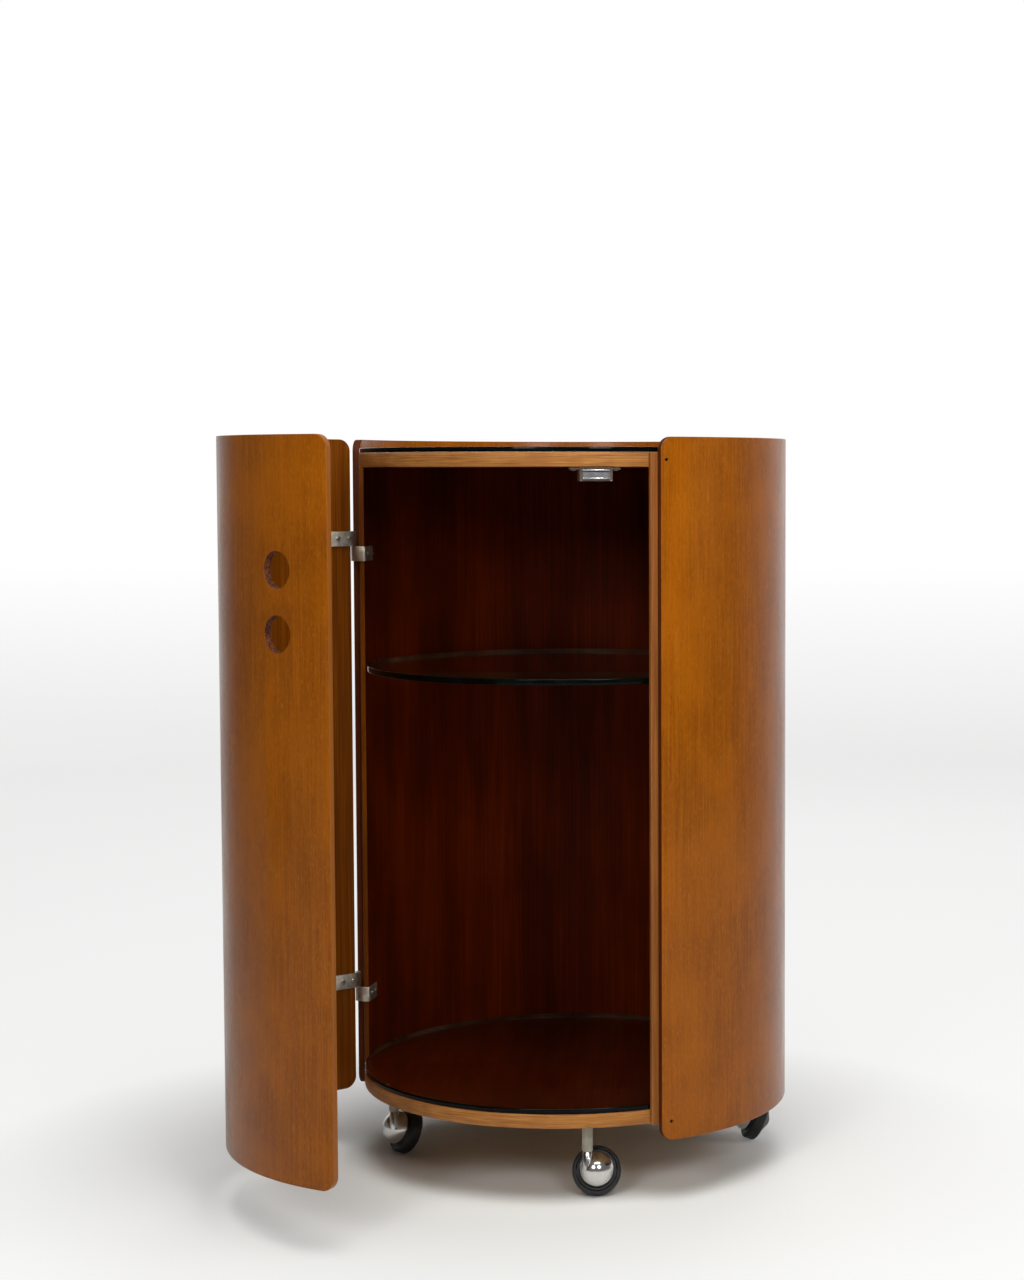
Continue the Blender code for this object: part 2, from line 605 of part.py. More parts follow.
# Four casters: fixed socket, swivelling ball hood with its axle, wheel with its tyre
tenon_cuts = []
for k, label in enumerate(("front", "right", "back", "left")):
    name = f"caster_{label}_"
    stem = around(STEM_START + k * math.pi / 2, STEM_CIRCLE)
    stand = Matrix.Translation((stem.x, stem.y, 0))
    swivel = empty(name + "swivel", frame, stand @ Matrix.Rotation(HEADINGS[k], 4, "Z"))
    side = HANDS[k] * SIDE_STEP
    ball_turn = Matrix.Rotation(math.pi / 2 - AXLE_TILT, 4, "Y")
    axle_frame = empty(name + "axle_frame", swivel, Matrix.Translation((-TRAIL, side, wheel_z)) @ ball_turn)
    ball_place = Matrix.Translation((-TRAIL + BALL_Q * tilt_c, side, ball_z)) @ ball_turn
    smooth(part(name + "socket", turned(socket_line, 14, stand), SOCKET, frame))
    tenon_cuts.append(rod(TENON_R + GAP, BASE_LIFT - PANEL_T, BASE_LIFT + TENON_L + GAP, 16, stand))
    bm = bmesh.new()
    bmesh.ops.create_uvsphere(bm, u_segments=18, v_segments=11, radius=BALL_R)
    hood = part(name + "hood", to_mesh(bm, ball_place), CHROME, swivel)
    boolean(hood, cutter(name + "boss", turned(boss_line, 14), swivel), "UNION")
    bore = rod(bore_r, -BALL_R * 2, BALL_R * 0.2, 14, Matrix.Translation((0, 0, axle_tip - BALL_R * 0.18)))
    boolean(hood, cutter(name + "axle_bore", bore, axle_frame))
    smooth(hood, 50)
    smooth(part(name + "axle", turned(axle_line, 12), STEEL, axle_frame))
    smooth(part(name + "wheel", turned(wheel_line, 22, closed=True), BLACK, axle_frame))
    smooth(part(name + "tyre", turned(tyre_line, 26, closed=True), RUBBER, axle_frame), 50)
boolean(base, cutter("tenon_cut", merged(tenon_cuts), frame))

# Stand the rest pose centred on the origin with the tyres on the floor
bpy.context.view_layer.update()
graph = bpy.context.evaluated_depsgraph_get()
corners = []
for obj in PARTS.objects:
    if obj.type == "MESH":
        shape = obj.evaluated_get(graph)
        corners += [shape.matrix_world @ vert.co for vert in shape.data.vertices]
low = Vector([min(c[i] for c in corners) for i in range(3)])
high = Vector([max(c[i] for c in corners) for i in range(3)])
frame.location = (-(low.x + high.x) / 2, -(low.y + high.y) / 2, -low.z)
bpy.context.view_layer.update()
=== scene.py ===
# %% [markdown]
# # A round bar cabinet, dressed for the camera
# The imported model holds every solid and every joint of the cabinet. This lesson reads its sizes,
# models the pieces that show again with rounder and finer forms, and gives every surface the finish
# of the real material. Each step first says what the piece is and why it is made this way.

# %% Load the frame
import json
import math

import bmesh
import bpy
from mathutils import Matrix, Vector


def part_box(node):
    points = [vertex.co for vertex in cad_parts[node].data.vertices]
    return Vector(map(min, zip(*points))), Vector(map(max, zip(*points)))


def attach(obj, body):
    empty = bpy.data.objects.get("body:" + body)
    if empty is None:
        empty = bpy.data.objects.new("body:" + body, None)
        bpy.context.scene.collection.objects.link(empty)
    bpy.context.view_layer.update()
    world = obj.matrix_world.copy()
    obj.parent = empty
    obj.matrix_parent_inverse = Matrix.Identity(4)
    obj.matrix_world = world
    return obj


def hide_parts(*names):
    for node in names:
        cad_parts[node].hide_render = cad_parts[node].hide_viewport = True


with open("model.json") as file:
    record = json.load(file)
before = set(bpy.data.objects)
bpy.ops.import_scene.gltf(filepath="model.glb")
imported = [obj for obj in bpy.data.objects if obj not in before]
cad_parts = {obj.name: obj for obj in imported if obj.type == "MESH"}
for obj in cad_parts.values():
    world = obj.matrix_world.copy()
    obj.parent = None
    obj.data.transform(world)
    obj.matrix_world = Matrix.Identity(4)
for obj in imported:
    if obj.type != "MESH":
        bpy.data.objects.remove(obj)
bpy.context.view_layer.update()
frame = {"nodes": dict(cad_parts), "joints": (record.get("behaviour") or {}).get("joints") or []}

MM = 0.001

# %% [markdown]
# ## Sizes
# The drum's axis, the heights of its walls and the hinge pin are read from the frame, so that the
# dressing fits the solids. Only what a box can't tell, such as radii and wall thicknesses, is written
# here. Angles run round the drum from its front, positive to the right.

# %% Read the drum from the frame


def middle(node):
    low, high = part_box(node)
    return (low + high) / 2


def around(angle, radius):
    return Vector((AXIS.x + radius * math.sin(angle), AXIS.y - radius * math.cos(angle)))


AXIS = middle("top_glass")
BASE_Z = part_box("base_panel")[0].z
SHELL_LOW, SHELL_HIGH = (corner.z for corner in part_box("body_shell"))
BODY_R = 224.85 * MM
SHELL_T = 8 * MM
LINER_OUT = 216.6 * MM
LINER_T = 5 * MM
LINER_IN = LINER_OUT - LINER_T
DOOR_T = 7.5 * MM
DOOR_IN = BODY_R - DOOR_T
OPEN_LEFT = math.radians(-96.0)
OPEN_RIGHT = math.radians(27.0)
LAP_TURN = 6.9 * MM / LINER_OUT
JOINTS = {joint["name"]: joint for joint in frame["joints"]}
PIN = Vector(JOINTS["door_hinge"]["pos_m"])
DOOR_TURN = -math.radians(JOINTS["door_hinge"]["range_deg"][1])
print("axis", [round(v, 4) for v in AXIS], "walls", round(SHELL_LOW, 4), round(SHELL_HIGH, 4))

# %% [markdown]
# ## Camera
# The photograph was matched by its landmarks. It is a crop from a wider frame, so the middle of the
# lens falls right of the picture's middle and the camera needs a sideways shift. A long lens stands
# 2.5 m in front of the drum's axis and looks down by about four degrees.

# %% Camera
CAMERA_FROM_AXIS = Vector((162.73, -2534.7, 628.5)) * MM
CAMERA_PITCH = math.radians(3.899)
camera_data = bpy.data.cameras.new("photo_camera")
camera_data.sensor_fit = "VERTICAL"
camera_data.sensor_height = 36.0
camera_data.lens = 69.248
camera_data.shift_x = -0.16655
camera = bpy.data.objects.new("photo_camera", camera_data)
bpy.context.scene.collection.objects.link(camera)
stand = Vector((AXIS.x, AXIS.y, BASE_Z)) + CAMERA_FROM_AXIS
camera.matrix_world = Matrix.Translation(stand) @ Matrix.Rotation(math.pi / 2 - CAMERA_PITCH, 4, "X")
bpy.context.scene.camera = camera
print("camera at", [round(v, 3) for v in stand])

# %% [markdown]
# ## Small tools
# Every operator works on what is selected, so each piece starts from an empty selection. A finished
# piece has its place in its mesh, its materials, and the body that carries it.

# %% Selection and finishing helpers
MERGE = 1e-6  # points closer than this are one


def fresh():
    if bpy.context.object and bpy.context.object.mode != "OBJECT":
        bpy.ops.object.mode_set(mode="OBJECT")
    bpy.ops.object.select_all(action="DESELECT")


def only(obj):
    fresh()
    obj.select_set(True)
    bpy.context.view_layer.objects.active = obj


def edit(obj):
    only(obj)
    bpy.ops.object.mode_set(mode="EDIT")
    bpy.ops.mesh.select_all(action="DESELECT")


def pick(obj, kind, wanted):
    """Select the edges or faces for which a test holds."""
    bpy.ops.mesh.select_mode(type=kind)
    mesh = bmesh.from_edit_mesh(obj.data)
    for item in mesh.edges if kind == "EDGE" else mesh.faces:
        item.select_set(wanted(item))
    bmesh.update_edit_mesh(obj.data)


def apply_all(obj):
    only(obj)
    for mod in list(obj.modifiers):
        bpy.ops.object.modifier_apply(modifier=mod.name)


def place(obj, matrix):
    only(obj)
    obj.matrix_world = matrix
    bpy.ops.object.transform_apply(location=True, rotation=True, scale=True)


def outward_faces(obj):
    edit(obj)
    bpy.ops.mesh.select_all(action="SELECT")
    bpy.ops.mesh.remove_doubles(threshold=MERGE)
    bpy.ops.mesh.normals_make_consistent(inside=False)
    fresh()


def soften(obj, width, segments=3, angle=40):
    mod = obj.modifiers.new("Bevel", "BEVEL")
    mod.width = width
    mod.segments = segments
    mod.limit_method = "ANGLE"
    mod.angle_limit = math.radians(angle)
    apply_all(obj)


def shade(obj, angle=40):
    only(obj)
    bpy.ops.object.shade_smooth_by_angle(angle=math.radians(angle))


def combine(obj, other, operation):
    mod = obj.modifiers.new("Boolean", "BOOLEAN")
    mod.operation = operation
    mod.solver = "EXACT"
    mod.object = other
    apply_all(obj)
    bpy.data.objects.remove(other, do_unlink=True)


def block(name, size, centre):
    fresh()
    bpy.ops.mesh.primitive_cube_add(size=1.0)
    piece = bpy.context.object
    piece.name = name
    place(piece, Matrix.Translation(centre) @ Matrix.Diagonal((*size, 1.0)))
    return piece


def copy_of(source, name, matrix):
    """A copy with its own mesh, whose faces are turned outwards again if the matrix mirrors it."""
    copy = source.copy()
    copy.data = source.data.copy()
    copy.name = name
    bpy.context.scene.collection.objects.link(copy)
    place(copy, matrix)
    if matrix.determinant() < 0:
        outward_faces(copy)
    return copy


def finish(obj, body, materials, nodes):
    for mat in materials:
        obj.data.materials.append(mat)
    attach(obj, body)
    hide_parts(*nodes)


print("helpers ready")

# %% [markdown]
# ## Finishes
# A finish is a Principled shader with patterns worked out in millimetres. One function turns an
# sRGB colour to linear light. One adds a node: a name in small letters is one of the node's own
# settings, and any other key is a socket that takes a value or a link.

# %% Node helpers


def colour(code):
    values = [int(code[i:i + 2], 16) / 255 for i in (0, 2, 4)]
    linear = [v / 12.92 if v <= 0.04045 else ((v + 0.055) / 1.055) ** 2.4 for v in values]
    return (*linear, 1.0)


def set_up(tree, node, settings):
    for key, value in settings.items():
        if isinstance(key, str) and key.islower():
            setattr(node, key, value)
        elif isinstance(value, bpy.types.NodeSocket):
            tree.links.new(value, node.inputs[key])
        else:
            node.inputs[key].default_value = value


def add(tree, kind, settings, output=0):
    node = tree.nodes.new(kind)
    set_up(tree, node, settings)
    return node.outputs[output]


def new_finish(name):
    mat = bpy.data.materials.new(name)
    mat.use_nodes = True
    return mat, mat.node_tree, mat.node_tree.nodes["Principled BSDF"]


def per_mm(sizes):
    return [1 / (size * MM) for size in sizes]


print("mid grey in linear light:", round(colour("808080")[0], 3))

# %% [markdown]
# ### Veneer
# The walls are bent plywood under a straight-grained brown veneer with satin lacquer. A flat colour
# would look like paint. Each wooden piece carries a "grain" attribute: across the grain, through the
# sheet and along the grain, in metres. A finish is a ground colour with layers of stretched noise
# over it. A layer is the size of its blobs in millimetres, the part of the noise that shows, how
# strongly, and in what tint. The pores are drawn coarser than real ones so that they show.

# %% Veneer layers
NOISE_LOW, NOISE_HIGH = 0.3, 0.7  # most of a noise lies between these
RUBBED_MM = (28, 28, 90)  # patches that hands and cloths have rubbed
MORE_GLOSS, LESS_GLOSS = 0.04, 0.06


def veneer(name, ground, layers, roughness, ior, relief_mm):
    mat, tree, shader = new_finish(name)
    grain = add(tree, "ShaderNodeAttribute", {"attribute_name": "grain"}, "Vector")
    tone = colour(ground)
    relief = None
    for sizes, (low, high), amount, tint in layers:
        grid = add(tree, "ShaderNodeMapping", {"Vector": grain, "Scale": per_mm(sizes)})
        blobs = add(tree, "ShaderNodeTexNoise", {"Vector": grid, "Scale": 1.0, "Detail": 3.0,
                                                 "Roughness": 0.55})
        shown = add(tree, "ShaderNodeMapRange", {"Value": blobs, "From Min": low, "From Max": high,
                                                 "To Min": 0.0, "To Max": amount})
        tone = add(tree, "ShaderNodeMix", {"data_type": "RGBA", 0: shown, 6: tone, 7: colour(tint)}, 2)
        relief = relief or blobs
    rubbed = add(tree, "ShaderNodeMapping", {"Vector": grain, "Scale": per_mm(RUBBED_MM)})
    rubbed = add(tree, "ShaderNodeTexNoise", {"Vector": rubbed, "Scale": 1.0, "Detail": 3.0})
    gloss = add(tree, "ShaderNodeMapRange", {"Value": rubbed, "From Min": NOISE_LOW, "From Max": NOISE_HIGH,
                                             "To Min": roughness - MORE_GLOSS,
                                             "To Max": roughness + LESS_GLOSS})
    ridges = add(tree, "ShaderNodeBump", {"Height": relief, "Strength": 0.5, "Distance": relief_mm * MM})
    set_up(tree, shader, {"Base Color": tone, "Roughness": gloss, "Normal": ridges, "IOR": ior})
    return mat


# Lacquered outside: warm amber brown with fine upright streaks, broad leaves of veneer, and a few nicks
# and knots
OUTSIDE = (((1.5, 40, 90), (0.42, 0.68), 0.62, "A65E0A"), ((2.3, 40, 160), (0.42, 0.68), 0.50, "6C3402"),
           ((42, 60, 1400), (0.40, 0.70), 0.30, "7E4202"), ((80, 90, 110), (0.40, 0.70), 0.55, "A85C04"),
           ((38, 60, 60), (0.42, 0.72), 0.30, "703A02"), ((0.9, 5, 9), (0.55, 0.75), 0.50, "5A2A04"),
           ((1.3, 9, 4.5), (0.54, 0.74), 0.40, "B06A1E"), ((2, 9, 2), (0.83, 0.86), 0.80, "D8A47A"),
           ((4, 9, 6), (0.78, 0.82), 0.60, "4C2204"))
WALL_VENEER = veneer("lacquered_veneer_outside", "864604", OUTSIDE, 0.22, 1.26, 0.05)
# Stained inside: a deep red brown that only shows its streaks where light falls in
INSIDE = (((2.2, 40, 160), (0.42, 0.70), 0.75, "782802"), ((34, 60, 900), (0.40, 0.70), 0.60, "3C0F00"),
          ((90, 90, 200), (0.42, 0.70), 0.55, "2C0A00"))
LINING = veneer("stained_veneer_inside", "5A1B00", INSIDE, 0.45, 1.10, 0.04)
# Back of the door: the same leaf as outside, darker and duller because it is never polished. On the
# liner's hinge end and inner arris it is painted shade for the gap the door shades
BACK = (((1.9, 40, 120), (0.42, 0.70), 0.75, "8E4C02"), ((3.0, 40, 200), (0.42, 0.70), 0.75, "4E2202"),
        ((36, 60, 900), (0.40, 0.70), 0.40, "5A3002"))
DOOR_BACK_AND_SHADED_END = veneer("waxed_veneer_door_back_and_shaded_end", "6C3402", BACK, 0.50, 1.18, 0.05)
# Edge banding of the boards: paler and rosier than the faces, with short dark flecks along its length
BAND = (((1.3, 30, 60), (0.40, 0.68), 0.85, "C48C50"), ((1.0, 30, 30), (0.44, 0.70), 0.85, "704420"),
        ((4, 30, 160), (0.42, 0.72), 0.55, "B47834"), ((30, 30, 24), (0.42, 0.72), 0.35, "7E4A20"))
EDGE_BAND = veneer("edge_banding", "9A6230", BAND, 0.45, 1.22, 0.05)
# Lipping of the lap: the strip the door closes against is paler and rosier than the shell
LIP = (((1.5, 40, 90), (0.42, 0.68), 0.60, "AA6C36"), ((2.3, 40, 160), (0.42, 0.68), 0.60, "6A3C18"))
LIPPING = veneer("lap_lipping", "8C5222", LIP, 0.35, 1.26, 0.05)
# Cut edges of the door: lacquered plies that run as fine lines through the thickness
PLIES = (((60, 1.5, 300), (0.42, 0.70), 0.60, "A4642A"), ((60, 1.1, 160), (0.46, 0.72), 0.60, "6E3A0E"))
PLY_EDGE = veneer("lacquered_ply_edge", "8E5012", PLIES, 0.42, 1.35, 0.05)
# Cut edges of the shell: dark all round, painted shade for the shaded hinge end and the gap along the inner
# arris
SHADED_PLIES = (((60, 1.6, 200), (0.45, 0.72), 0.60, "6A3616"), ((60, 1.2, 90), (0.46, 0.72), 0.50, "341206"))
SHADED_PLY_EDGE = veneer("ply_edge_painted_shade", "50220C", SHADED_PLIES, 0.50, 1.20, 0.05)
# Flat faces of the round boards: the same stain, a little redder on the wider leaf
BOARD_FACE = veneer("stained_board_face", "4C1700", INSIDE, 0.45, 1.10, 0.04)
# Sawn wall of a bored hole: torn dark fibres with paler crumbs
TORN = (((1.2, 1.2, 1.2), (0.52, 0.66), 0.80, "94603E"), ((2.5, 2.5, 2.5), (0.42, 0.60), 0.85, "280E04"))
SAWN = veneer("sawn_veneer_core", "5C2C16", TORN, 0.70, 1.30, 0.35)
# Underside of the base board: bare, greyed wood that was never stained
BARE = (((2.4, 40, 120), (0.42, 0.70), 0.60, "AC8C66"), ((30, 40, 300), (0.42, 0.70), 0.50, "785838"))
BARE_WOOD = veneer("bare_board_underside", "967450", BARE, 0.75, 1.20, 0.10)
print("materials so far, with those of the frame:", len(bpy.data.materials))

# %% [markdown]
# ### Glass, metal, plastic and rubber
# These have no grain, so their patterns sit on Object coordinates. Patches of wear change colour and
# gloss together, and a finer grit gives the bump. One recipe serves all of them, since they differ
# in colour, gloss and a few shader sockets only.

# %% Patchy surfaces
WORN_FROM, WORN_TO = 0.35, 0.68  # the part of the noise that shows as wear


def patchy(name, base, worn, patch_mm, gloss_range, grit_mm, relief_mm, sockets):
    mat, tree, shader = new_finish(name)
    spot = add(tree, "ShaderNodeTexCoord", {}, "Object")
    grid = add(tree, "ShaderNodeMapping", {"Vector": spot, "Scale": per_mm((patch_mm,) * 3)})
    patch = add(tree, "ShaderNodeTexNoise", {"Vector": grid, "Scale": 1.0, "Detail": 3.0})
    wear = add(tree, "ShaderNodeMapRange", {"Value": patch, "From Min": WORN_FROM, "From Max": WORN_TO})
    tone = add(tree, "ShaderNodeMix", {"data_type": "RGBA", 0: wear, 6: colour(base), 7: colour(worn)}, 2)
    gloss = add(tree, "ShaderNodeMapRange", {"Value": patch, "From Min": NOISE_LOW, "From Max": NOISE_HIGH,
                                             "To Min": gloss_range[0], "To Max": gloss_range[1]})
    grid = add(tree, "ShaderNodeMapping", {"Vector": spot, "Scale": per_mm((grit_mm,) * 3)})
    grit = add(tree, "ShaderNodeTexNoise", {"Vector": grid, "Scale": 1.0, "Detail": 2.0})
    bumps = add(tree, "ShaderNodeBump", {"Height": grit, "Strength": 0.4, "Distance": relief_mm * MM})
    set_up(tree, shader, {"Base Color": tone, "Roughness": gloss, "Normal": bumps, **sockets})
    return mat


METAL = {"Metallic": 1.0}
MOULDED = {"IOR": 1.46}
# Float glass: clear with a breath of green, and faint wiping marks in its gloss. It is partly
# see-through as well, so that light reaches what lies under it
GLASS = patchy("float_glass", "DCE8E0", "D2E0D7", 60, (0.005, 0.03), 40, 0.001,
               {"IOR": 1.52, "Transmission Weight": 1.0, "Alpha": 0.5})
# Ground glass edge: light is lost along the plate, so the edge looks green-black with a wet shine
GLASS_EDGE = patchy("polished_glass_edge", "020403", "070D0A", 18, (0.04, 0.09), 6, 0.002, {"IOR": 1.18})
# Far glass edge: pale in streaks, a painted highlight for the light it gathers seen through the plate
PAINTED_LIGHT_FAR_EDGE = patchy("far_glass_edge_painted_light", "5C5040", "241A10", 45, (0.15, 0.30), 6, 0.002, {"IOR": 1.30})
# Nickel plate: a warm grey with a soft sheen, rubbed duller in patches
NICKEL = patchy("dull_nickel_plate", "DCD2C2", "B8AE9E", 5, (0.42, 0.54), 0.5, 0.02, METAL)
# Zinc-plated screws: darker and duller than the leaves they hold
SCREW_STEEL = patchy("zinc_screw_steel", "C4BCAE", "948A7E", 3, (0.36, 0.48), 0.5, 0.01, METAL)
# Pole steel: bright ground bars that catch the lamps
PLATE_STEEL = patchy("ground_pole_steel", "D5D4D0", "B4B3AF", 6, (0.20, 0.30), 0.5, 0.01, METAL)
# Ferrite magnet: a flat mid grey between the bars
FERRITE = patchy("ferrite_magnet", "77787A", "626366", 4, (0.45, 0.60), 0.6, 0.02, MOULDED)
# Blackened steel pins and pegs: almost lost in the wood
BLACK_STEEL = patchy("blackened_steel", "241710", "150D09", 2, (0.45, 0.60), 0.5, 0.01, METAL)
# Worn chrome: a slightly softened picture of the room, a little duller in patches
CHROME = patchy("worn_chrome", "DCDCD9", "CDCDC9", 12, (0.16, 0.21), 9, 0.0004, METAL)
# Die-cast sleeve: matte warm grey
SLEEVE_GREY = patchy("die_cast_sleeve", "A49F90", "8F8A7B", 9, (0.45, 0.58), 0.6, 0.02, MOULDED)
# Nylon wheel: black with a dull moulded sheen
NYLON = patchy("black_nylon", "121214", "1A1A1D", 9, (0.34, 0.46), 0.5, 0.015, MOULDED)
# Tyre rubber: charcoal, softer and greyer than the nylon
RUBBER = patchy("tyre_rubber", "18181A", "232326", 9, (0.42, 0.56), 0.5, 0.03, MOULDED)
# Catch housing: brown-grey moulded plastic
CATCH_BROWN = patchy("brown_catch_plastic", "6B5B50", "574A41", 9, (0.38, 0.50), 0.5, 0.015, MOULDED)
print("materials with all finishes:", len(bpy.data.materials))

# %% [markdown]
# ## Bent walls
# The shell, liner and door are bent plywood. They could be spun from a profile, but then the rounded
# corners would be hard to cut. So they are made as the workshop makes them: a flat board is cut, its
# corners are rounded, its arrises are eased, and it is then bent to its radius. Slicing the flat
# board first gives the bend a fine, even mesh. The flat position is kept as the grain attribute, so
# that the veneer bends with the board. The small holes over the sunk panel pins are bored in the flat
# shell as well.

# %% Bent board
SLICE = 4.5 * MM
CORNER_R = 12.5 * MM
CORNER_STEPS = 10
ARRIS_STEPS = 4
BORE_SIDES = 48
FLAT = 0.9  # a face whose normal has this much of an axis is square to it
FRONT_ROUND = -0.35  # the eased front arris wears the outside veneer up to here
BACK_ROUND = 0.3  # and the inner arris has painted shade from here
SHADE_REACH = 1.2  # arris widths from the hinge end that get painted shade
FACE_OUT, FACE_IN, FACE_EDGE, FACE_HOLE_OR_SHADE = 0, 1, 2, 3


def flat_board(name, length, thick, height, corner):
    board = block(name, (length, thick, height), (0, 0, 0))
    if corner:
        edit(board)
        pick(board, "EDGE", lambda e: abs(e.verts[0].co.y - e.verts[1].co.y) > thick / 2)
        bpy.ops.mesh.bevel(offset=corner, segments=CORNER_STEPS, affect="EDGES")
        fresh()
    return board


def slice_board(board, length):
    edit(board)
    count = round(length / SLICE)
    for k in range(1, count):
        bpy.ops.mesh.select_all(action="SELECT")
        bpy.ops.mesh.bisect(plane_co=(length * (k / count - 0.5), 0, 0), plane_no=(1, 0, 0))
    fresh()


def mark_faces(board, holes, arris, hinge_end):
    """Keep the flat position as grain, and tell face, back, edge and dark places apart.

    Dark places are the walls of bored holes and, on a wall with a hinge end, that end and the inner arris,
    where the dark finish is painted shade for the gap they lie in.
    """
    mesh = board.data
    grain = mesh.attributes.new("grain", "FLOAT_VECTOR", "POINT")
    grain.data.foreach_set("vector", [v for vert in mesh.vertices for v in vert.co])
    for face in mesh.polygons:
        facing, spot = face.normal.y, face.center
        dark = any(math.hypot(spot.x - x, spot.z - z) < r + arris for x, z, r in holes)
        # the hinge end and the inner arris get painted shade
        dark = dark or hinge_end and (facing > BACK_ROUND or spot.x > hinge_end)
        if facing > FLAT or facing < FRONT_ROUND:
            face.material_index = FACE_IN if facing > 0 else FACE_OUT
        else:
            face.material_index = FACE_HOLE_OR_SHADE if dark else FACE_EDGE


def bent_board(name, outer, thick, start, stop, low, high, corner, arris, centre, holes, shaded_end):
    """Holes are given on the flat board, as places across and up from its middle, with a radius."""
    radius = outer - thick / 2
    length = radius * (stop - start)
    board = flat_board(name, length, thick, high - low, corner)
    for across, up, bore in holes:
        fresh()
        bpy.ops.mesh.primitive_cylinder_add(vertices=BORE_SIDES, radius=bore, depth=4 * thick,
                                            location=(across, 0, up), rotation=(math.pi / 2, 0, 0))
        combine(board, bpy.context.object, "DIFFERENCE")
    soften(board, arris, ARRIS_STEPS)
    slice_board(board, length)
    mark_faces(board, holes, arris, length / 2 - SHADE_REACH * arris if shaded_end else 0)
    mod = board.modifiers.new("Bend", "SIMPLE_DEFORM")
    mod.deform_method = "BEND"
    mod.deform_axis = "Z"
    mod.angle = length / radius
    apply_all(board)
    turn = Matrix.Rotation((start + stop) / 2, 4, "Z") @ Matrix.Translation((0, -radius, 0))
    place(board, Matrix.Translation((centre.x, centre.y, (low + high) / 2)) @ turn)
    shade(board, 50)
    return board


print("slices every", SLICE / MM, "mm, corners of", CORNER_R / MM, "mm")

# %% Shell and liner
ROUND = 2 * math.pi
SHELL_FROM, SHELL_TO = OPEN_RIGHT, OPEN_LEFT + ROUND
WALL_MID_Z = (SHELL_LOW + SHELL_HIGH) / 2
PIN_HOLE_R = 1.5 * MM
SHELL_ARRIS = 1.8 * MM
LINER_ARRIS = 0.6 * MM


def pin_hole(node):
    """Place of a sunk panel pin on the flat shell."""
    spot = middle(node)
    angle = math.atan2(spot.x - AXIS.x, AXIS.y - spot.y) % ROUND
    across = (BODY_R - SHELL_T / 2) * (angle - (SHELL_FROM + SHELL_TO) / 2)
    return across, spot.z - WALL_MID_Z, PIN_HOLE_R


pin_holes = [pin_hole(name) for name in frame["nodes"] if name.startswith("panel_pin")]
shell = bent_board("shell_wall", BODY_R, SHELL_T, SHELL_FROM, SHELL_TO,
                   SHELL_LOW, SHELL_HIGH, CORNER_R, SHELL_ARRIS, AXIS, pin_holes, True)
# Every edge face of the shell takes the dark ply edge, which is painted shade.
finish(shell, "cabinet", (WALL_VENEER, WALL_VENEER, SHADED_PLY_EDGE, SHADED_PLY_EDGE),
       ["body_shell"])
liner_low, liner_high = (corner.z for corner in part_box("liner"))
liner = bent_board("liner_wall", LINER_OUT, LINER_T, SHELL_FROM - LAP_TURN, SHELL_TO + LAP_TURN,
                   liner_low, liner_high, 0, LINER_ARRIS, AXIS, (), True)
# The liner's hinge end and inner arris take the darker door-back finish as painted shade.
finish(liner, "cabinet", (LIPPING, LINING, LIPPING, DOOR_BACK_AND_SHADED_END), ["liner"])
print("shell faces", len(shell.data.polygons), "liner faces", len(liner.data.polygons))

# %% [markdown]
# ## Door
# The door is one bent board that swings about the hinge pin. Its closed angles are turned by the
# rest opening, and its centre of curvature is the drum's axis turned about the pin. Two finger holes
# are bored through the flat board before it is bent, and their walls are left torn.

# %% Door board with finger holes
HOLE_R = 17 * MM
HOLE_ANGLE = math.radians(11.26)
HOLE_HEIGHTS = (483.9 * MM, 541.5 * MM)
HINGE_GAP = 9.7 * MM
FREE_GAP = 2 * MM
DOOR_ARRIS = 1.0 * MM
DOOR_FROM = OPEN_LEFT + HINGE_GAP / BODY_R
DOOR_TO = OPEN_RIGHT - FREE_GAP / BODY_R
hole_across = (BODY_R - DOOR_T / 2) * (HOLE_ANGLE - (DOOR_FROM + DOOR_TO) / 2)
hole_places = [(hole_across, BASE_Z + height - WALL_MID_Z, HOLE_R) for height in HOLE_HEIGHTS]
door_centre = PIN + Matrix.Rotation(DOOR_TURN, 3, "Z") @ (AXIS - PIN)
door = bent_board("door_board", BODY_R, DOOR_T, DOOR_FROM + DOOR_TURN, DOOR_TO + DOOR_TURN,
                  SHELL_LOW, SHELL_HIGH, CORNER_R, DOOR_ARRIS, door_centre, hole_places, False)
finish(door, "door", (WALL_VENEER, DOOR_BACK_AND_SHADED_END, PLY_EDGE, SAWN), ["door_panel"])
print("door faces", len(door.data.polygons), "centre", [round(v, 4) for v in door_centre])

# %% [markdown]
# ## Boards and glass
# The base and the top are round boards with a banded rim, each under a loose glass plate, and a third
# plate is the shelf. A cylinder with eased arrises is all the shape they have, so the care goes into
# the rim: its grain runs round the board while the faces have straight grain, so the attribute is
# written for each face corner. The far half of a glass rim gets a paler finish of its own, a painted
# highlight for the light it gathers seen through the plate.

# %% Round boards
DISC_SIDES = 180
BOARD_EASE = 0.9 * MM
GLASS_EASE = 1.0 * MM
RIM = 1
PAINTED_LIGHT_FAR_RIM = 2
UPPER_SIDE, UNDER_SIDE = 2, 3


def round_plate(name, node, ease):
    low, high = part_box(node)
    radius = (high.x - low.x) / 2
    fresh()
    bpy.ops.mesh.primitive_cylinder_add(vertices=DISC_SIDES, radius=radius, depth=high.z - low.z)
    plate = bpy.context.object
    plate.name = name
    place(plate, Matrix.Translation((AXIS.x, AXIS.y, (low.z + high.z) / 2)))
    edit(plate)
    pick(plate, "EDGE", lambda e: abs(e.verts[0].co.z - e.verts[1].co.z) < ease / 2)
    bpy.ops.mesh.bevel(offset=ease, segments=3, affect="EDGES")
    fresh()
    shade(plate, 50)
    for face in plate.data.polygons:
        face.material_index = RIM if abs(face.normal.z) < FLAT else 0
    print(name, "radius", round(radius, 4), "from", round(low.z, 4), "to", round(high.z, 4))
    return plate


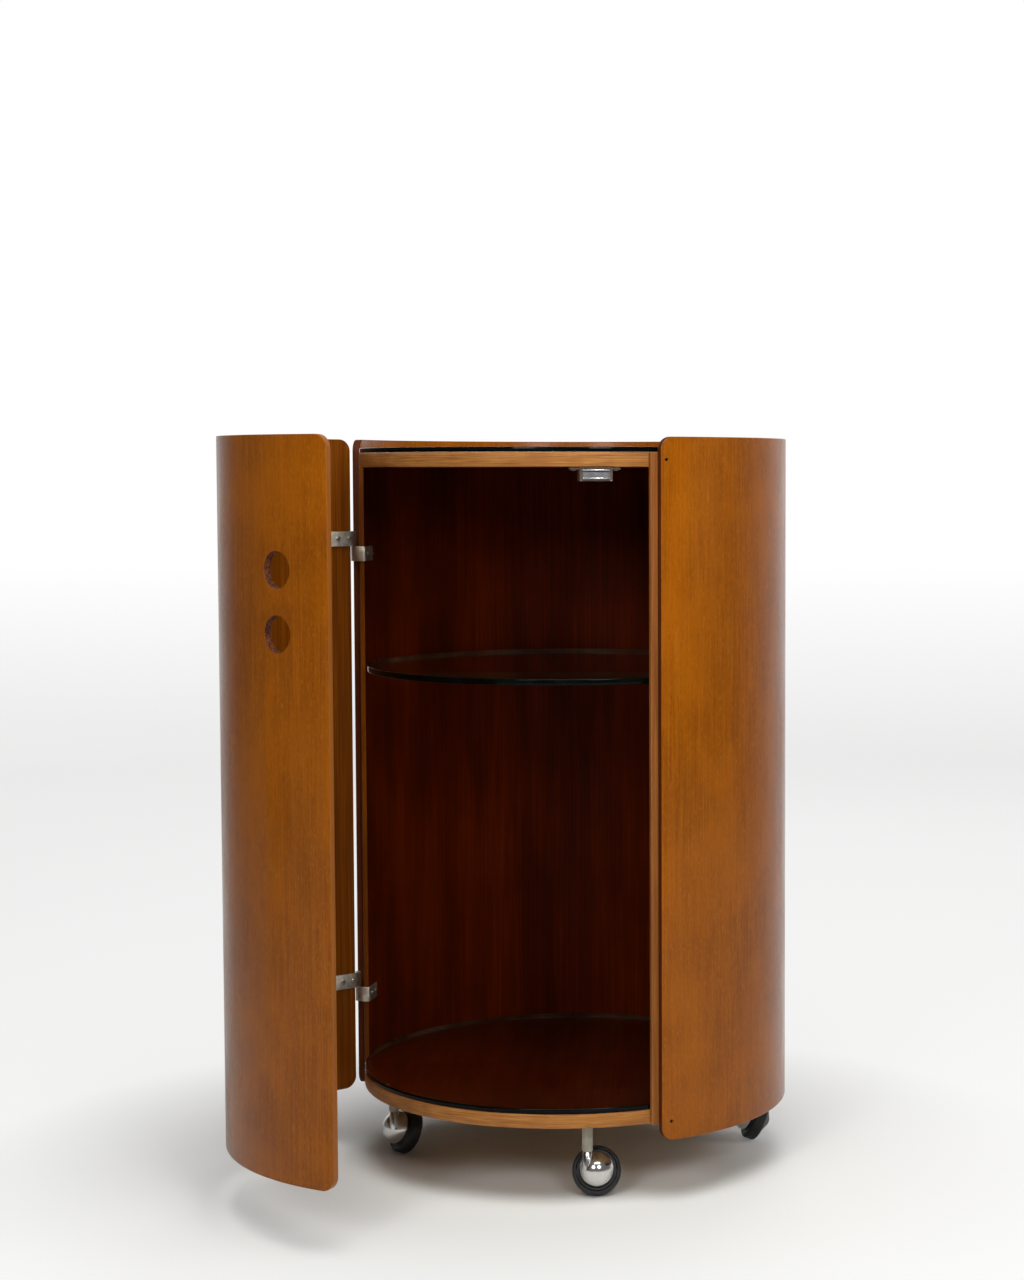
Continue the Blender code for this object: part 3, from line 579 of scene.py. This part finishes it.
def rim_grain(plate):
    mesh = plate.data
    grain = mesh.attributes.new("grain", "FLOAT_VECTOR", "CORNER")
    for face in mesh.polygons:
        ahead = math.atan2(face.center.x - AXIS.x, AXIS.y - face.center.y)
        for index in face.loop_indices:
            spot = mesh.vertices[mesh.loops[index].vertex_index].co - AXIS
            angle = math.atan2(spot.x, -spot.y)
            angle += round((ahead - angle) / ROUND) * ROUND
            rim = (spot.z, 0.0, angle * LINER_IN)
            grain.data[index].vector = rim if face.material_index == RIM else (spot.x, spot.z, spot.y)


def show_side(plate, upward, index):
    """Give one flat side of a board its own finish."""
    for face in plate.data.polygons:
        if face.normal.z * upward > FLAT:
            face.material_index = index


BOARD_FINISHES = (BOARD_FACE, EDGE_BAND, WALL_VENEER, BARE_WOOD)
for label, upward, index in (("base", -1, UNDER_SIDE), ("top", 1, UPPER_SIDE)):
    board = round_plate(f"{label}_board", f"{label}_panel", BOARD_EASE)
    rim_grain(board)
    show_side(board, upward, index)
    finish(board, "cabinet", BOARD_FINISHES, [f"{label}_panel"])
for node in ("base_glass", "top_glass", "shelf_glass"):
    plate = round_plate(f"{node}_plate", node, GLASS_EASE)
    # The far half of each glass rim takes the pale finish, a painted highlight.
    for face in plate.data.polygons:
        if face.material_index == RIM and face.center.y > AXIS.y:
            face.material_index = PAINTED_LIGHT_FAR_RIM
    finish(plate, "cabinet", (GLASS, GLASS_EDGE, PAINTED_LIGHT_FAR_EDGE), [node])

# %% [markdown]
# ## Hinges
# Each hinge is two strips of nickel-plated steel. A strip lies flat on the wood, is bent over the
# edge, and is rolled round the pin at its end. Cutting it from a block would lose the even thickness,
# so a narrow grid is laid along the strip's path and then thickened.

# %% Paths of the strips, seen from above
LEAF_T = 1.5 * MM
BARREL_MID = 2.0 * MM
EASE = 0.45 * MM
DOOR_LEAF_L = 24.5 * MM
BODY_LEAF_L = 25.5 * MM
DOOR_LEAF_MID = OPEN_LEFT + (HINGE_GAP + DOOR_LEAF_L / 2 - LEAF_T / 2) / DOOR_IN
LAP_ANGLE = OPEN_LEFT + LAP_TURN
BODY_LEAF_MID = LAP_ANGLE - BODY_LEAF_L / 2 / LINER_IN
BEND_R = 2.2 * MM
CRANK = 1.9 * MM  # the body strip runs out past the liner by this much before it rolls
ROLL_STEP, ROLL_POINTS = 18, 17  # degrees between the points of a rolled barrel, and their count
LEAF_ARRIS = 0.25 * MM


def ahead_of(angle):
    return Vector((math.cos(angle), math.sin(angle)))


def leaf_radius(face_r, length):
    """Distance of a flat leaf's middle plane from the axis when its two ends touch a round wall."""
    return math.sqrt(face_r ** 2 - (length / 2) ** 2) - EASE - LEAF_T / 2


def rolled_from(point, sense):
    """A tongue that leaves a point, meets the barrel along a tangent and wraps round the pin."""
    from_pin = point - PIN.xy
    start = math.atan2(from_pin.y, from_pin.x) + sense * math.acos(BARREL_MID / from_pin.length)
    turns = [start + sense * math.radians(ROLL_STEP * k) for k in range(ROLL_POINTS)]
    return [PIN.xy + BARREL_MID * Vector((math.cos(a), math.sin(a))) for a in turns]


def eased_bend(before, corner, after):
    """Four points that round a bend of the strip."""
    first = corner + (before - corner).normalized() * BEND_R
    last = corner + (after - corner).normalized() * BEND_R
    steps = (0.0, 0.33, 0.67, 1.0)
    return [first * (1 - t) ** 2 + corner * 2 * t * (1 - t) + last * t ** 2 for t in steps]


door_r = leaf_radius(DOOR_IN, DOOR_LEAF_L)
half = ahead_of(DOOR_LEAF_MID) * DOOR_LEAF_L / 2
door_far = around(DOOR_LEAF_MID, door_r) + half
door_near = around(DOOR_LEAF_MID, door_r) - half
door_roll = rolled_from(door_near, 1)
DOOR_PATH = [door_far] + eased_bend(door_far, door_near, door_roll[0]) + door_roll

body_r = leaf_radius(LINER_IN, BODY_LEAF_L)
half = ahead_of(BODY_LEAF_MID) * BODY_LEAF_L / 2
leg_far = around(BODY_LEAF_MID, body_r) - half
leg_near = around(BODY_LEAF_MID, body_r) + half
plate_near = around(LAP_ANGLE, LINER_OUT + CRANK) + ahead_of(LAP_ANGLE) * (EASE + LEAF_T / 2)
run = (leg_near - leg_far).normalized()
step = (plate_near - leg_near).dot(ahead_of(LAP_ANGLE)) / run.dot(ahead_of(LAP_ANGLE))
corner = leg_near + run * step
body_roll = rolled_from(plate_near, -1)
BODY_PATH = [leg_far] + eased_bend(leg_far, corner, plate_near)
BODY_PATH += eased_bend(corner, plate_near, body_roll[0]) + body_roll
print("door strip points", len(DOOR_PATH), "body strip points", len(BODY_PATH))

# %% Strips
ABOUT_PIN = Matrix.Translation((PIN.x, PIN.y, 0)) @ Matrix.Rotation(DOOR_TURN, 4, "Z") \
    @ Matrix.Translation((-PIN.x, -PIN.y, 0))


def strip(name, path, low, high, turn):
    fresh()
    bpy.ops.mesh.primitive_grid_add(x_subdivisions=len(path) - 1, y_subdivisions=1, size=2.0)
    leaf = bpy.context.object
    leaf.name = name
    for vert in leaf.data.vertices:
        spot = path[round((vert.co.x + 1) / 2 * (len(path) - 1))]
        vert.co = (spot.x, spot.y, high if vert.co.y > 0 else low)
    place(leaf, turn)
    mod = leaf.modifiers.new("Solidify", "SOLIDIFY")
    mod.thickness = LEAF_T
    mod.offset = 0.0
    mod.use_even_offset = True
    apply_all(leaf)
    outward_faces(leaf)
    soften(leaf, LEAF_ARRIS, 2, 50)
    shade(leaf, 45)
    return leaf


for label in ("upper", "lower"):
    low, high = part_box(f"hinge_{label}_door_leaf")
    leaf = strip(f"hinge_{label}_door_strip", DOOR_PATH, low.z, high.z, ABOUT_PIN)
    finish(leaf, "door", (NICKEL,), [f"hinge_{label}_door_leaf"])
    low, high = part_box(f"hinge_{label}_body_leaf")
    leaf = strip(f"hinge_{label}_body_strip", BODY_PATH, low.z, high.z, Matrix())
    finish(leaf, "cabinet", (NICKEL,), [f"hinge_{label}_body_leaf"])
    print("hinge", label, "body strip from", round(low.z, 4), "to", round(high.z, 4))

# %% [markdown]
# ## Turned parts
# Screws and casters are turned on a lathe. A lathe part starts as a ring of points that is moved on
# to its profile, and the spin operator turns it about its axis. The seam and the poles are then
# merged and the faces turned outwards.

# %% Lathe


def turned(name, profile, steps):
    """Spin a closed profile of (radius, height) points about the Z axis."""
    fresh()
    bpy.ops.mesh.primitive_circle_add(vertices=len(profile), radius=1.0, fill_type="NOTHING")
    ring = bpy.context.object
    ring.name = name
    for vert, (radius, height) in zip(ring.data.vertices, profile):
        vert.co = (radius, 0, height)
    bpy.ops.object.mode_set(mode="EDIT")
    bpy.ops.mesh.select_all(action="SELECT")
    bpy.ops.mesh.spin(steps=steps, angle=ROUND, center=(0, 0, 0), axis=(0, 0, 1))
    bpy.ops.mesh.select_all(action="SELECT")
    bpy.ops.mesh.remove_doubles(threshold=MERGE)
    bpy.ops.mesh.dissolve_degenerate(threshold=MERGE / 10)
    outward_faces(ring)
    return ring


def arc(centre_r, centre_z, radius, start, stop, steps):
    angles = [math.radians(start + (stop - start) * k / steps) for k in range(steps + 1)]
    return [(centre_r + radius * math.cos(a), centre_z + radius * math.sin(a)) for a in angles]


print("an arc of 6 steps has", len(arc(0, 0, 1, 0, 90, 6)), "points")

# %% One slotted screw, copied to every place
SCREW_R = 1.5 * MM
HEAD_R = 2.7 * MM
HEAD_T = 1.0 * MM
SCREW_L = 5.7 * MM
SEAT = 0.3 * MM
SLOT_W = 0.8 * MM
SCREW_SIDES = 28
DOOR_SCREWS = (-0.36 * DOOR_LEAF_L, 0.17 * DOOR_LEAF_L)
BODY_SCREWS = (-0.32 * BODY_LEAF_L, 0.25 * BODY_LEAF_L)
FIRST_SLOT, NEXT_SLOT = 25, 67  # degrees: no two slots stand alike

# From the tip up the shank to a low domed head
line = [(0, SCREW_L), (SCREW_R, SCREW_L - SCREW_R), (SCREW_R, -SEAT), (HEAD_R, -SEAT)]
line += [(HEAD_R, -SEAT - HEAD_T * 0.4), (HEAD_R * 0.8, -SEAT - HEAD_T * 0.85), (0, -SEAT - HEAD_T)]
screw = turned("slotted_screw", line, SCREW_SIDES)
combine(screw, block("slot", (3 * HEAD_R, SLOT_W, HEAD_T), (0, 0, -SEAT - HEAD_T)), "DIFFERENCE")
shade(screw, 30)


def on_wall(angle, radius, along, height):
    """Frame on a round wall: X runs on round the drum, Y up and Z straight out."""
    ahead = ahead_of(angle)
    spot = around(angle, radius) + ahead * along
    out = Vector((math.sin(angle), -math.cos(angle)))
    return Matrix(((ahead.x, 0, out.x, spot.x), (ahead.y, 0, out.y, spot.y), (0, 1, 0, height), (0, 0, 0, 1)))


places = []
for label in ("upper", "lower"):
    for k in (0, 1):
        name = f"hinge_{label}_door_screw_{k + 1}"
        spot = on_wall(DOOR_LEAF_MID, door_r - LEAF_T / 2, DOOR_SCREWS[k], middle(name).z)
        places.append((name, "door", ABOUT_PIN @ spot))
        name = f"hinge_{label}_body_screw_{k + 1}"
        spot = on_wall(BODY_LEAF_MID, body_r - LEAF_T / 2, BODY_SCREWS[k], middle(name).z)
        places.append((name, "cabinet", spot))
for side in ("left", "right"):
    name = f"catch_screw_{side}"
    lift = Matrix.Translation((*middle(name).xy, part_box(name)[0].z + SEAT + HEAD_T))
    places.append((name, "cabinet", lift))
for k, (name, body, spot) in enumerate(places):
    turn = math.radians(FIRST_SLOT + NEXT_SLOT * k)
    copy = copy_of(screw, f"{name}_slotted", spot @ Matrix.Rotation(turn, 4, "Z"))
    finish(copy, body, (SCREW_STEEL,), [name])
bpy.data.objects.remove(screw, do_unlink=True)
print("screws:", len(places))

# %% [markdown]
# ## Magnetic catch
# The catch is a small moulded housing with two ears, screwed up under the top board. Two ground steel
# bars stand out of its mouth with a grey magnet between them. The mouth is inset into the front of a
# block, and the bars and the magnet are a second piece.

# %% Catch
CATCH_W = 31 * MM
CATCH_D = 18 * MM
CATCH_H = 13 * MM
CATCH_FRONT = 213.7 * MM
CATCH_ANGLE = math.radians(11.14)
CATCH_ARRIS = 0.35 * MM
MOUTH_WALL, MOUTH_DEEP = 1.6 * MM, 2.0 * MM
EAR = (50 * MM, 9 * MM, 2.2 * MM)
EAR_CORNER = 3 * MM
EAR_BACK = 0.62  # share of the depth at which the ears sit
BAR = (26.4 * MM, 5 * MM, 1.5 * MM)
BAR_PROUD = 1.3 * MM
BAR_RISE = 3.9 * MM  # of each bar from the middle of the housing
BAR_ARRIS = 0.3 * MM
MAGNET = (25.4 * MM, 4 * MM, 5.2 * MM)
MAGNET_BACK = 2.2 * MM
MAGNET_DROP = 0.55 * MM
catch_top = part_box("catch_housing")[1].z
catch_turn = Matrix.Translation((AXIS.x, AXIS.y, 0)) @ Matrix.Rotation(CATCH_ANGLE, 4, "Z")
catch_mid = catch_top - CATCH_H / 2

housing = block("catch_shell", (CATCH_W, CATCH_D, CATCH_H), (0, CATCH_D / 2 - CATCH_FRONT, catch_mid))
edit(housing)
pick(housing, "FACE", lambda f: f.normal.y < -FLAT)
bpy.ops.mesh.inset(thickness=MOUTH_WALL, depth=-MOUTH_DEEP)
fresh()
ears = block("ears", EAR, (0, CATCH_D * EAR_BACK - CATCH_FRONT, catch_top - EAR[2] / 2))
edit(ears)
pick(ears, "EDGE", lambda e: abs(e.verts[0].co.z - e.verts[1].co.z) > EAR[2] / 2)
bpy.ops.mesh.bevel(offset=EAR_CORNER, segments=5, affect="EDGES")
combine(housing, ears, "UNION")
soften(housing, CATCH_ARRIS, 2, 50)
place(housing, catch_turn)
shade(housing, 40)
finish(housing, "cabinet", (CATCH_BROWN,), ["catch_housing"])

bar_y = BAR[1] / 2 - CATCH_FRONT - BAR_PROUD
poles = block("catch_poles", BAR, (0, bar_y, catch_mid + BAR_RISE))
low_bar = block("low_bar", BAR, (0, bar_y, catch_mid - BAR_RISE))
magnet = block("magnet", MAGNET, (0, MAGNET_BACK - CATCH_FRONT, catch_mid - MAGNET_DROP))
for face in magnet.data.polygons:
    face.material_index = 1
poles.data.materials.append(PLATE_STEEL)
low_bar.data.materials.append(PLATE_STEEL)
for mat in (PLATE_STEEL, FERRITE):
    magnet.data.materials.append(mat)
only(poles)
low_bar.select_set(True)
magnet.select_set(True)
bpy.ops.object.join()
soften(poles, BAR_ARRIS, 2, 50)
place(poles, catch_turn)
shade(poles, 40)
finish(poles, "cabinet", (), ["catch_plate"])
print("catch under", round(catch_top, 4))

# %% [markdown]
# ## Casters
# A ball caster has a chrome ball with a boss at its side that turns on a stem. A cup wheel with a
# rubber tyre runs on a tilted axle and wraps round the ball. The four are alike apart from their
# hand, so one is modelled standing at the origin, and it is copied, mirrored where needed, to each
# stem. Its heading and hand are read from the joints.

# %% Caster sizes
TYRE_R = 24.0 * MM
TYRE_W = 13 * MM
TYRE_T = 3.8 * MM
TYRE_ROUND = 3.2 * MM
TYRE_LIP = 0.6 * MM
GROOVE = 0.25 * MM  # half width and depth of the line round the tread
BALL_R = 17.3 * MM
BALL_Q = 9 * MM
BOSS_R = 4.5 * MM
SLEEVE_R = 5.25 * MM
HUB_R = 6.2 * MM
HUB_Q = 13.5 * MM
CHAMFER = 0.5 * MM
CUP_GAP = 0.5 * MM
CUP_R = BALL_R + CUP_GAP
RIM_EDGE, RIM_ROUND = 0.8 * MM, 1.5 * MM
HUB_FLARE, HUB_EDGE = 1.0 * MM, 0.6 * MM
CUP_STEPS = 10
BORE_R = 2.8 * MM
PLAY = 0.3 * MM  # between pieces that turn or stand on each other
TYRE_SIDES, WHEEL_SIDES, BALL_SIDES, SLEEVE_SIDES, BOSS_SIDES = 64, 56, 56, 40, 36


def caster_frame(label):
    """Where a caster's stem stands, which way it heads, and where its wheel lies from there."""
    stem = Vector(JOINTS[f"caster_{label}_swivel_turn"]["pos_m"])
    axle = Vector(JOINTS[f"caster_{label}_roll"]["axis"])
    heading = Matrix.Rotation(math.atan2(axle.y, axle.x), 3, "Z")
    wheel = heading.inverted() @ (Vector(JOINTS[f"caster_{label}_roll"]["pos_m"]) - stem)
    hand = math.copysign(1.0, wheel.y)
    stand = Matrix.Translation((stem.x, stem.y, 0)) @ heading.to_4x4() @ Matrix.Diagonal((1, hand, 1, 1))
    return stand, Vector((wheel.x, abs(wheel.y), wheel.z + stem.z)), math.asin(axle.z), stem.z


def tyre_profile():
    half = TYRE_W / 2
    inner = TYRE_R - TYRE_T
    line = [(inner, half - TYRE_LIP), (inner + TYRE_LIP, half)]
    line += arc(TYRE_R - TYRE_ROUND, half - TYRE_ROUND, TYRE_ROUND, 90, 8, 6)
    line += [(TYRE_R - GROOVE, GROOVE), (TYRE_R - GROOVE, -GROOVE)]
    line += arc(TYRE_R - TYRE_ROUND, TYRE_ROUND - half, TYRE_ROUND, -8, -90, 6)
    return line + [(inner + TYRE_LIP, -half), (inner, TYRE_LIP - half)]


def wheel_profile():
    rim = TYRE_R - TYRE_T - PLAY
    face = TYRE_W / 2 - CHAMFER
    start = math.degrees(math.asin(BORE_R / CUP_R))
    stop = math.degrees(math.acos((BALL_Q - face) / CUP_R))
    line = [(rim - CHAMFER, face), (rim, face - CHAMFER), (rim, RIM_EDGE - face)]
    line += arc(rim - RIM_ROUND, RIM_EDGE - face, RIM_ROUND, 0, -60, 3)
    line += [(HUB_R + HUB_FLARE, HUB_EDGE - HUB_Q), (HUB_R, -HUB_Q), (BORE_R, -HUB_Q)]
    angles = [math.radians(start + (stop - start) * k / CUP_STEPS) for k in range(CUP_STEPS + 1)]
    return line + [(CUP_R * math.sin(a), BALL_Q - CUP_R * math.cos(a)) for a in angles]


print("tyre points", len(tyre_profile()), "wheel points", len(wheel_profile()))

# %% One caster at the origin
wheel_at, tilt, swivel_z = caster_frame("front")[1:]
lean = Matrix.Translation(wheel_at) @ Matrix.Rotation(math.pi / 2 - tilt, 4, "Y")
tyre = turned("tyre", tyre_profile(), TYRE_SIDES)
wheel = turned("cup", wheel_profile(), WHEEL_SIDES)
for piece in (tyre, wheel):
    place(piece, lean)
    shade(piece, 30)
fresh()
bpy.ops.mesh.primitive_uv_sphere_add(segments=BALL_SIDES, ring_count=BALL_SIDES // 2, radius=BALL_R)
ball = bpy.context.object
place(ball, lean @ Matrix.Translation((0, 0, BALL_Q)))
boss_top = swivel_z - PLAY
ball_z = wheel_at.z + BALL_Q * math.sin(tilt)
line = [(0, boss_top), (BOSS_R - CHAMFER, boss_top), (BOSS_R, boss_top - CHAMFER)]
combine(ball, turned("boss", line + arc(0, ball_z, BOSS_R, 0, -90, 6), BOSS_SIDES), "UNION")
shade(ball, 60)
sleeve_top = BASE_Z - PLAY
line = [(0, sleeve_top), (SLEEVE_R, sleeve_top), (SLEEVE_R, swivel_z + CHAMFER)]
sleeve = turned("sleeve", line + [(SLEEVE_R - CHAMFER, swivel_z), (0, swivel_z)], SLEEVE_SIDES)
shade(sleeve, 30)
print("caster wheel at", [round(v, 4) for v in wheel_at], "tilt", round(math.degrees(tilt), 1))

# %% Four copies
PIECES = ((tyre, "rubber", "roller", "tyre_rubber", RUBBER, "tyre"),
          (wheel, "cup", "roller", "black_plastic", NYLON, "wheel"),
          (ball, "ball", "swivel", "chrome", CHROME, "hood"),
          (sleeve, "sleeve", None, "socket_plastic", SLEEVE_GREY, "socket"))
for label in ("front", "right", "back", "left"):
    stand = caster_frame(label)[0]
    for source, name, carrier, slot, mat, node in PIECES:
        copy = copy_of(source, f"caster_{label}_{name}", stand)
        body = f"caster_{label}_{carrier}" if carrier else "cabinet"
        finish(copy, body, (mat,), [f"caster_{label}_{node}"])
for row in PIECES:
    bpy.data.objects.remove(row[0], do_unlink=True)
print("caster pieces:", 4 * len(PIECES))

# %% [markdown]
# ## Small hardware kept from the frame
# Hinge pins, axles, pegs, panel pins and the strike are already true to size and hardly show, so they
# keep their solids and only get the finish of their metal.

# %% Finishes for the kept solids
KEPT = {"panel_pin": BLACK_STEEL, "shelf_peg": BLACK_STEEL, "_pin": NICKEL, "_axle": SCREW_STEEL,
        "strike_screw": SCREW_STEEL, "strike_plate": PLATE_STEEL}
kept = []
for name, node in frame["nodes"].items():
    for words, mat in KEPT.items():
        if words in name:
            node.data.materials.clear()
            node.data.materials.append(mat)
            kept.append(name)
            break
print("finished by name:", len(kept))

# %% [markdown]
# ## Floor, backdrop and light
# A pale paper sweep runs from the floor up behind the cabinet. It keeps the shadow near the cabinet
# and turns to plain white higher up, for the camera and in reflections alike, so that metal and lacquer
# mirror the same backdrop. The room in front of the cabinet is dim, as in a studio. The lamps are soft
# boxes in front, a wide one overhead, and two fills from the side and the back that don't mirror.

# %% Sweep
SWEEP_WIDE = 18.0
SWEEP_FRONT = -10.0
SWEEP_BACK = 4.6
SWEEP_HIGH = 3.6
SWEEP_BEND = 1.3
BEND_STEPS = 24
FOLDS_MM = (900, 700, 900)
WHITE_FROM, WHITE_TO = 0.02, 0.45  # height over which the paper turns white
PALE_FROM, PALE_TO = 0.20, 0.60  # distance over which the floor turns pale
PALE = 0.78  # and how white it gets there
BRIGHT_SIDE = (0.22, 0.975, 0.0)  # the side of the room that shows bright in metal and lacquer
MIRROR_FROM, MIRROR_TO = 0.32, 0.88
FADE_FROM, FADE_TO = 3.6, 6.5  # distance over which the far floor turns white


def sweep_paper():
    # Matte paper: almost white, with faint broad unevenness, and white where it turns up
    mat, tree, shader = new_finish("pale_backdrop_paper")
    spot = add(tree, "ShaderNodeTexCoord", {}, "Object")
    grid = add(tree, "ShaderNodeMapping", {"Vector": spot, "Scale": per_mm(FOLDS_MM)})
    folds = add(tree, "ShaderNodeTexNoise", {"Vector": grid, "Scale": 1.0, "Detail": 2.0})
    tone = add(tree, "ShaderNodeMix", {"data_type": "RGBA", 0: folds,
                                       6: colour("F4F4F1"), 7: colour("EDEEEA")}, 2)
    set_up(tree, shader, {"Base Color": tone, "Roughness": 0.9, "Specular IOR Level": 0.0})
    path = tree.nodes.new("ShaderNodeLightPath").outputs
    seen = add(tree, "ShaderNodeMath", {"operation": "MAXIMUM", 0: path["Is Camera Ray"],
                                        1: path["Is Transmission Ray"]})
    toward = add(tree, "ShaderNodeVectorMath", {"operation": "NORMALIZE", 0: spot})
    facing = add(tree, "ShaderNodeVectorMath", {"operation": "DOT_PRODUCT", 0: toward,
                                                1: BRIGHT_SIDE}, "Value")
    behind = add(tree, "ShaderNodeMapRange", {"Value": facing, "From Min": MIRROR_FROM,
                                              "From Max": MIRROR_TO})
    mirrored = add(tree, "ShaderNodeMath", {"operation": "MULTIPLY", 0: path["Is Glossy Ray"], 1: behind})
    seen = add(tree, "ShaderNodeMath", {"operation": "MAXIMUM", 0: seen, 1: mirrored})
    height = add(tree, "ShaderNodeSeparateXYZ", {"Vector": spot}, "Z")
    rise = add(tree, "ShaderNodeMapRange", {"Value": height, "From Min": WHITE_FROM, "From Max": WHITE_TO})
    far = add(tree, "ShaderNodeVectorMath", {"operation": "LENGTH", 0: spot}, "Value")
    pale = add(tree, "ShaderNodeMapRange", {"Value": far, "From Min": PALE_FROM, "From Max": PALE_TO,
                                            "To Max": PALE})
    fade = add(tree, "ShaderNodeMapRange", {"Value": far, "From Min": FADE_FROM, "From Max": FADE_TO})
    rise = add(tree, "ShaderNodeMath", {"operation": "MAXIMUM", 0: rise, 1: fade})
    white = add(tree, "ShaderNodeMapRange", {"Value": rise, "To Min": pale})
    part = add(tree, "ShaderNodeMath", {"operation": "MULTIPLY", 0: seen, 1: white})
    glow = add(tree, "ShaderNodeEmission", {"Strength": 1.0})
    both = add(tree, "ShaderNodeMixShader", {0: part, 1: shader.outputs[0], 2: glow})
    tree.links.new(both, tree.nodes["Material Output"].inputs["Surface"])
    return mat


fresh()
bpy.ops.mesh.primitive_plane_add(size=1.0)
sweep = bpy.context.object
sweep.name = "backdrop_sweep"
place(sweep, Matrix.Translation((0, (SWEEP_FRONT + SWEEP_BACK) / 2, 0))
      @ Matrix.Diagonal((SWEEP_WIDE, SWEEP_BACK - SWEEP_FRONT, 1.0, 1.0)))
edit(sweep)
pick(sweep, "EDGE", lambda e: min(v.co.y for v in e.verts) > 0)
bpy.ops.mesh.extrude_region_move(TRANSFORM_OT_translate={"value": (0, 0, SWEEP_HIGH)})
pick(sweep, "EDGE", lambda e: min(v.co.y for v in e.verts) > 0 and max(v.co.z for v in e.verts) < MM)
bpy.ops.mesh.bevel(offset=SWEEP_BEND, segments=BEND_STEPS, affect="EDGES")
fresh()
shade(sweep, 60)
sweep.data.materials.append(sweep_paper())
print("sweep faces", len(sweep.data.polygons))

# %% Lamps
DRUM_MIDDLE = (0.05, 0.0, 0.4)
# Name, place, where it points, size, watts, and whether it shows in polished surfaces
LAMPS = (("soft_box_right", (0.93, -2.22, 1.35), DRUM_MIDDLE, (0.5, 0.5), 12.5, True),
         ("soft_box_left", (-0.73, -2.25, 1.35), DRUM_MIDDLE, (0.5, 0.5), 12.5, True),
         ("overhead", (0.2, -0.95, 2.25), (0.05, 0.0, 0.0), (1.3, 1.3), 35, True),
         ("side_window", (2.5, -0.4, 1.2), DRUM_MIDDLE, (1.2, 1.2), 11, False),
         ("back_fill", (0.5, 2.4, 1.9), (0.0, 0.0, 0.4), (1.2, 1.2), 14, False))


def soft_lamp(name, spot, target, size, watts, mirrors):
    data = bpy.data.lights.new(name, "AREA")
    data.shape = "RECTANGLE"
    data.size, data.size_y = size
    data.energy = watts
    lamp = bpy.data.objects.new(name, data)
    lamp.visible_camera = False
    lamp.visible_glossy = mirrors
    bpy.context.scene.collection.objects.link(lamp)
    aim = (Vector(target) - Vector(spot)).to_track_quat("-Z", "Y").to_matrix().to_4x4()
    lamp.matrix_world = Matrix.Translation(spot) @ aim


for lamp in LAMPS:
    soft_lamp(*lamp)
print("lamps:", len(bpy.data.lights))

# %% World
ROOM = 0.15
FILL = 0.10
world = bpy.data.worlds.new("studio_room")
world.use_nodes = True
bpy.context.scene.world = world
tree = world.node_tree
path = tree.nodes.new("ShaderNodeLightPath").outputs
seen = add(tree, "ShaderNodeMath", {"operation": "MAXIMUM", 0: path["Is Camera Ray"],
                                    1: path["Is Transmission Ray"]})
level = add(tree, "ShaderNodeMapRange", {"Value": seen, "To Min": FILL, "To Max": 1.0})
toward = add(tree, "ShaderNodeTexCoord", {}, "Generated")
behind = add(tree, "ShaderNodeVectorMath", {"operation": "DOT_PRODUCT", 0: toward, 1: BRIGHT_SIDE}, "Value")
mirrored = add(tree, "ShaderNodeMapRange", {"Value": behind, "From Min": MIRROR_FROM, "From Max": MIRROR_TO,
                                            "To Min": ROOM, "To Max": 1.0})
level = add(tree, "ShaderNodeMix", {"data_type": "FLOAT", 0: path["Is Glossy Ray"], 2: level, 3: mirrored})
set_up(tree, tree.nodes["Background"], {"Color": colour("FFFFFF"), "Strength": level})
bpy.context.scene.view_settings.view_transform = "Standard"
print("world nodes:", len(tree.nodes))

# %% [markdown]
# ## Last update
# The view layer is brought up to date at the end.

# %% Update the view layer
bpy.context.view_layer.update()
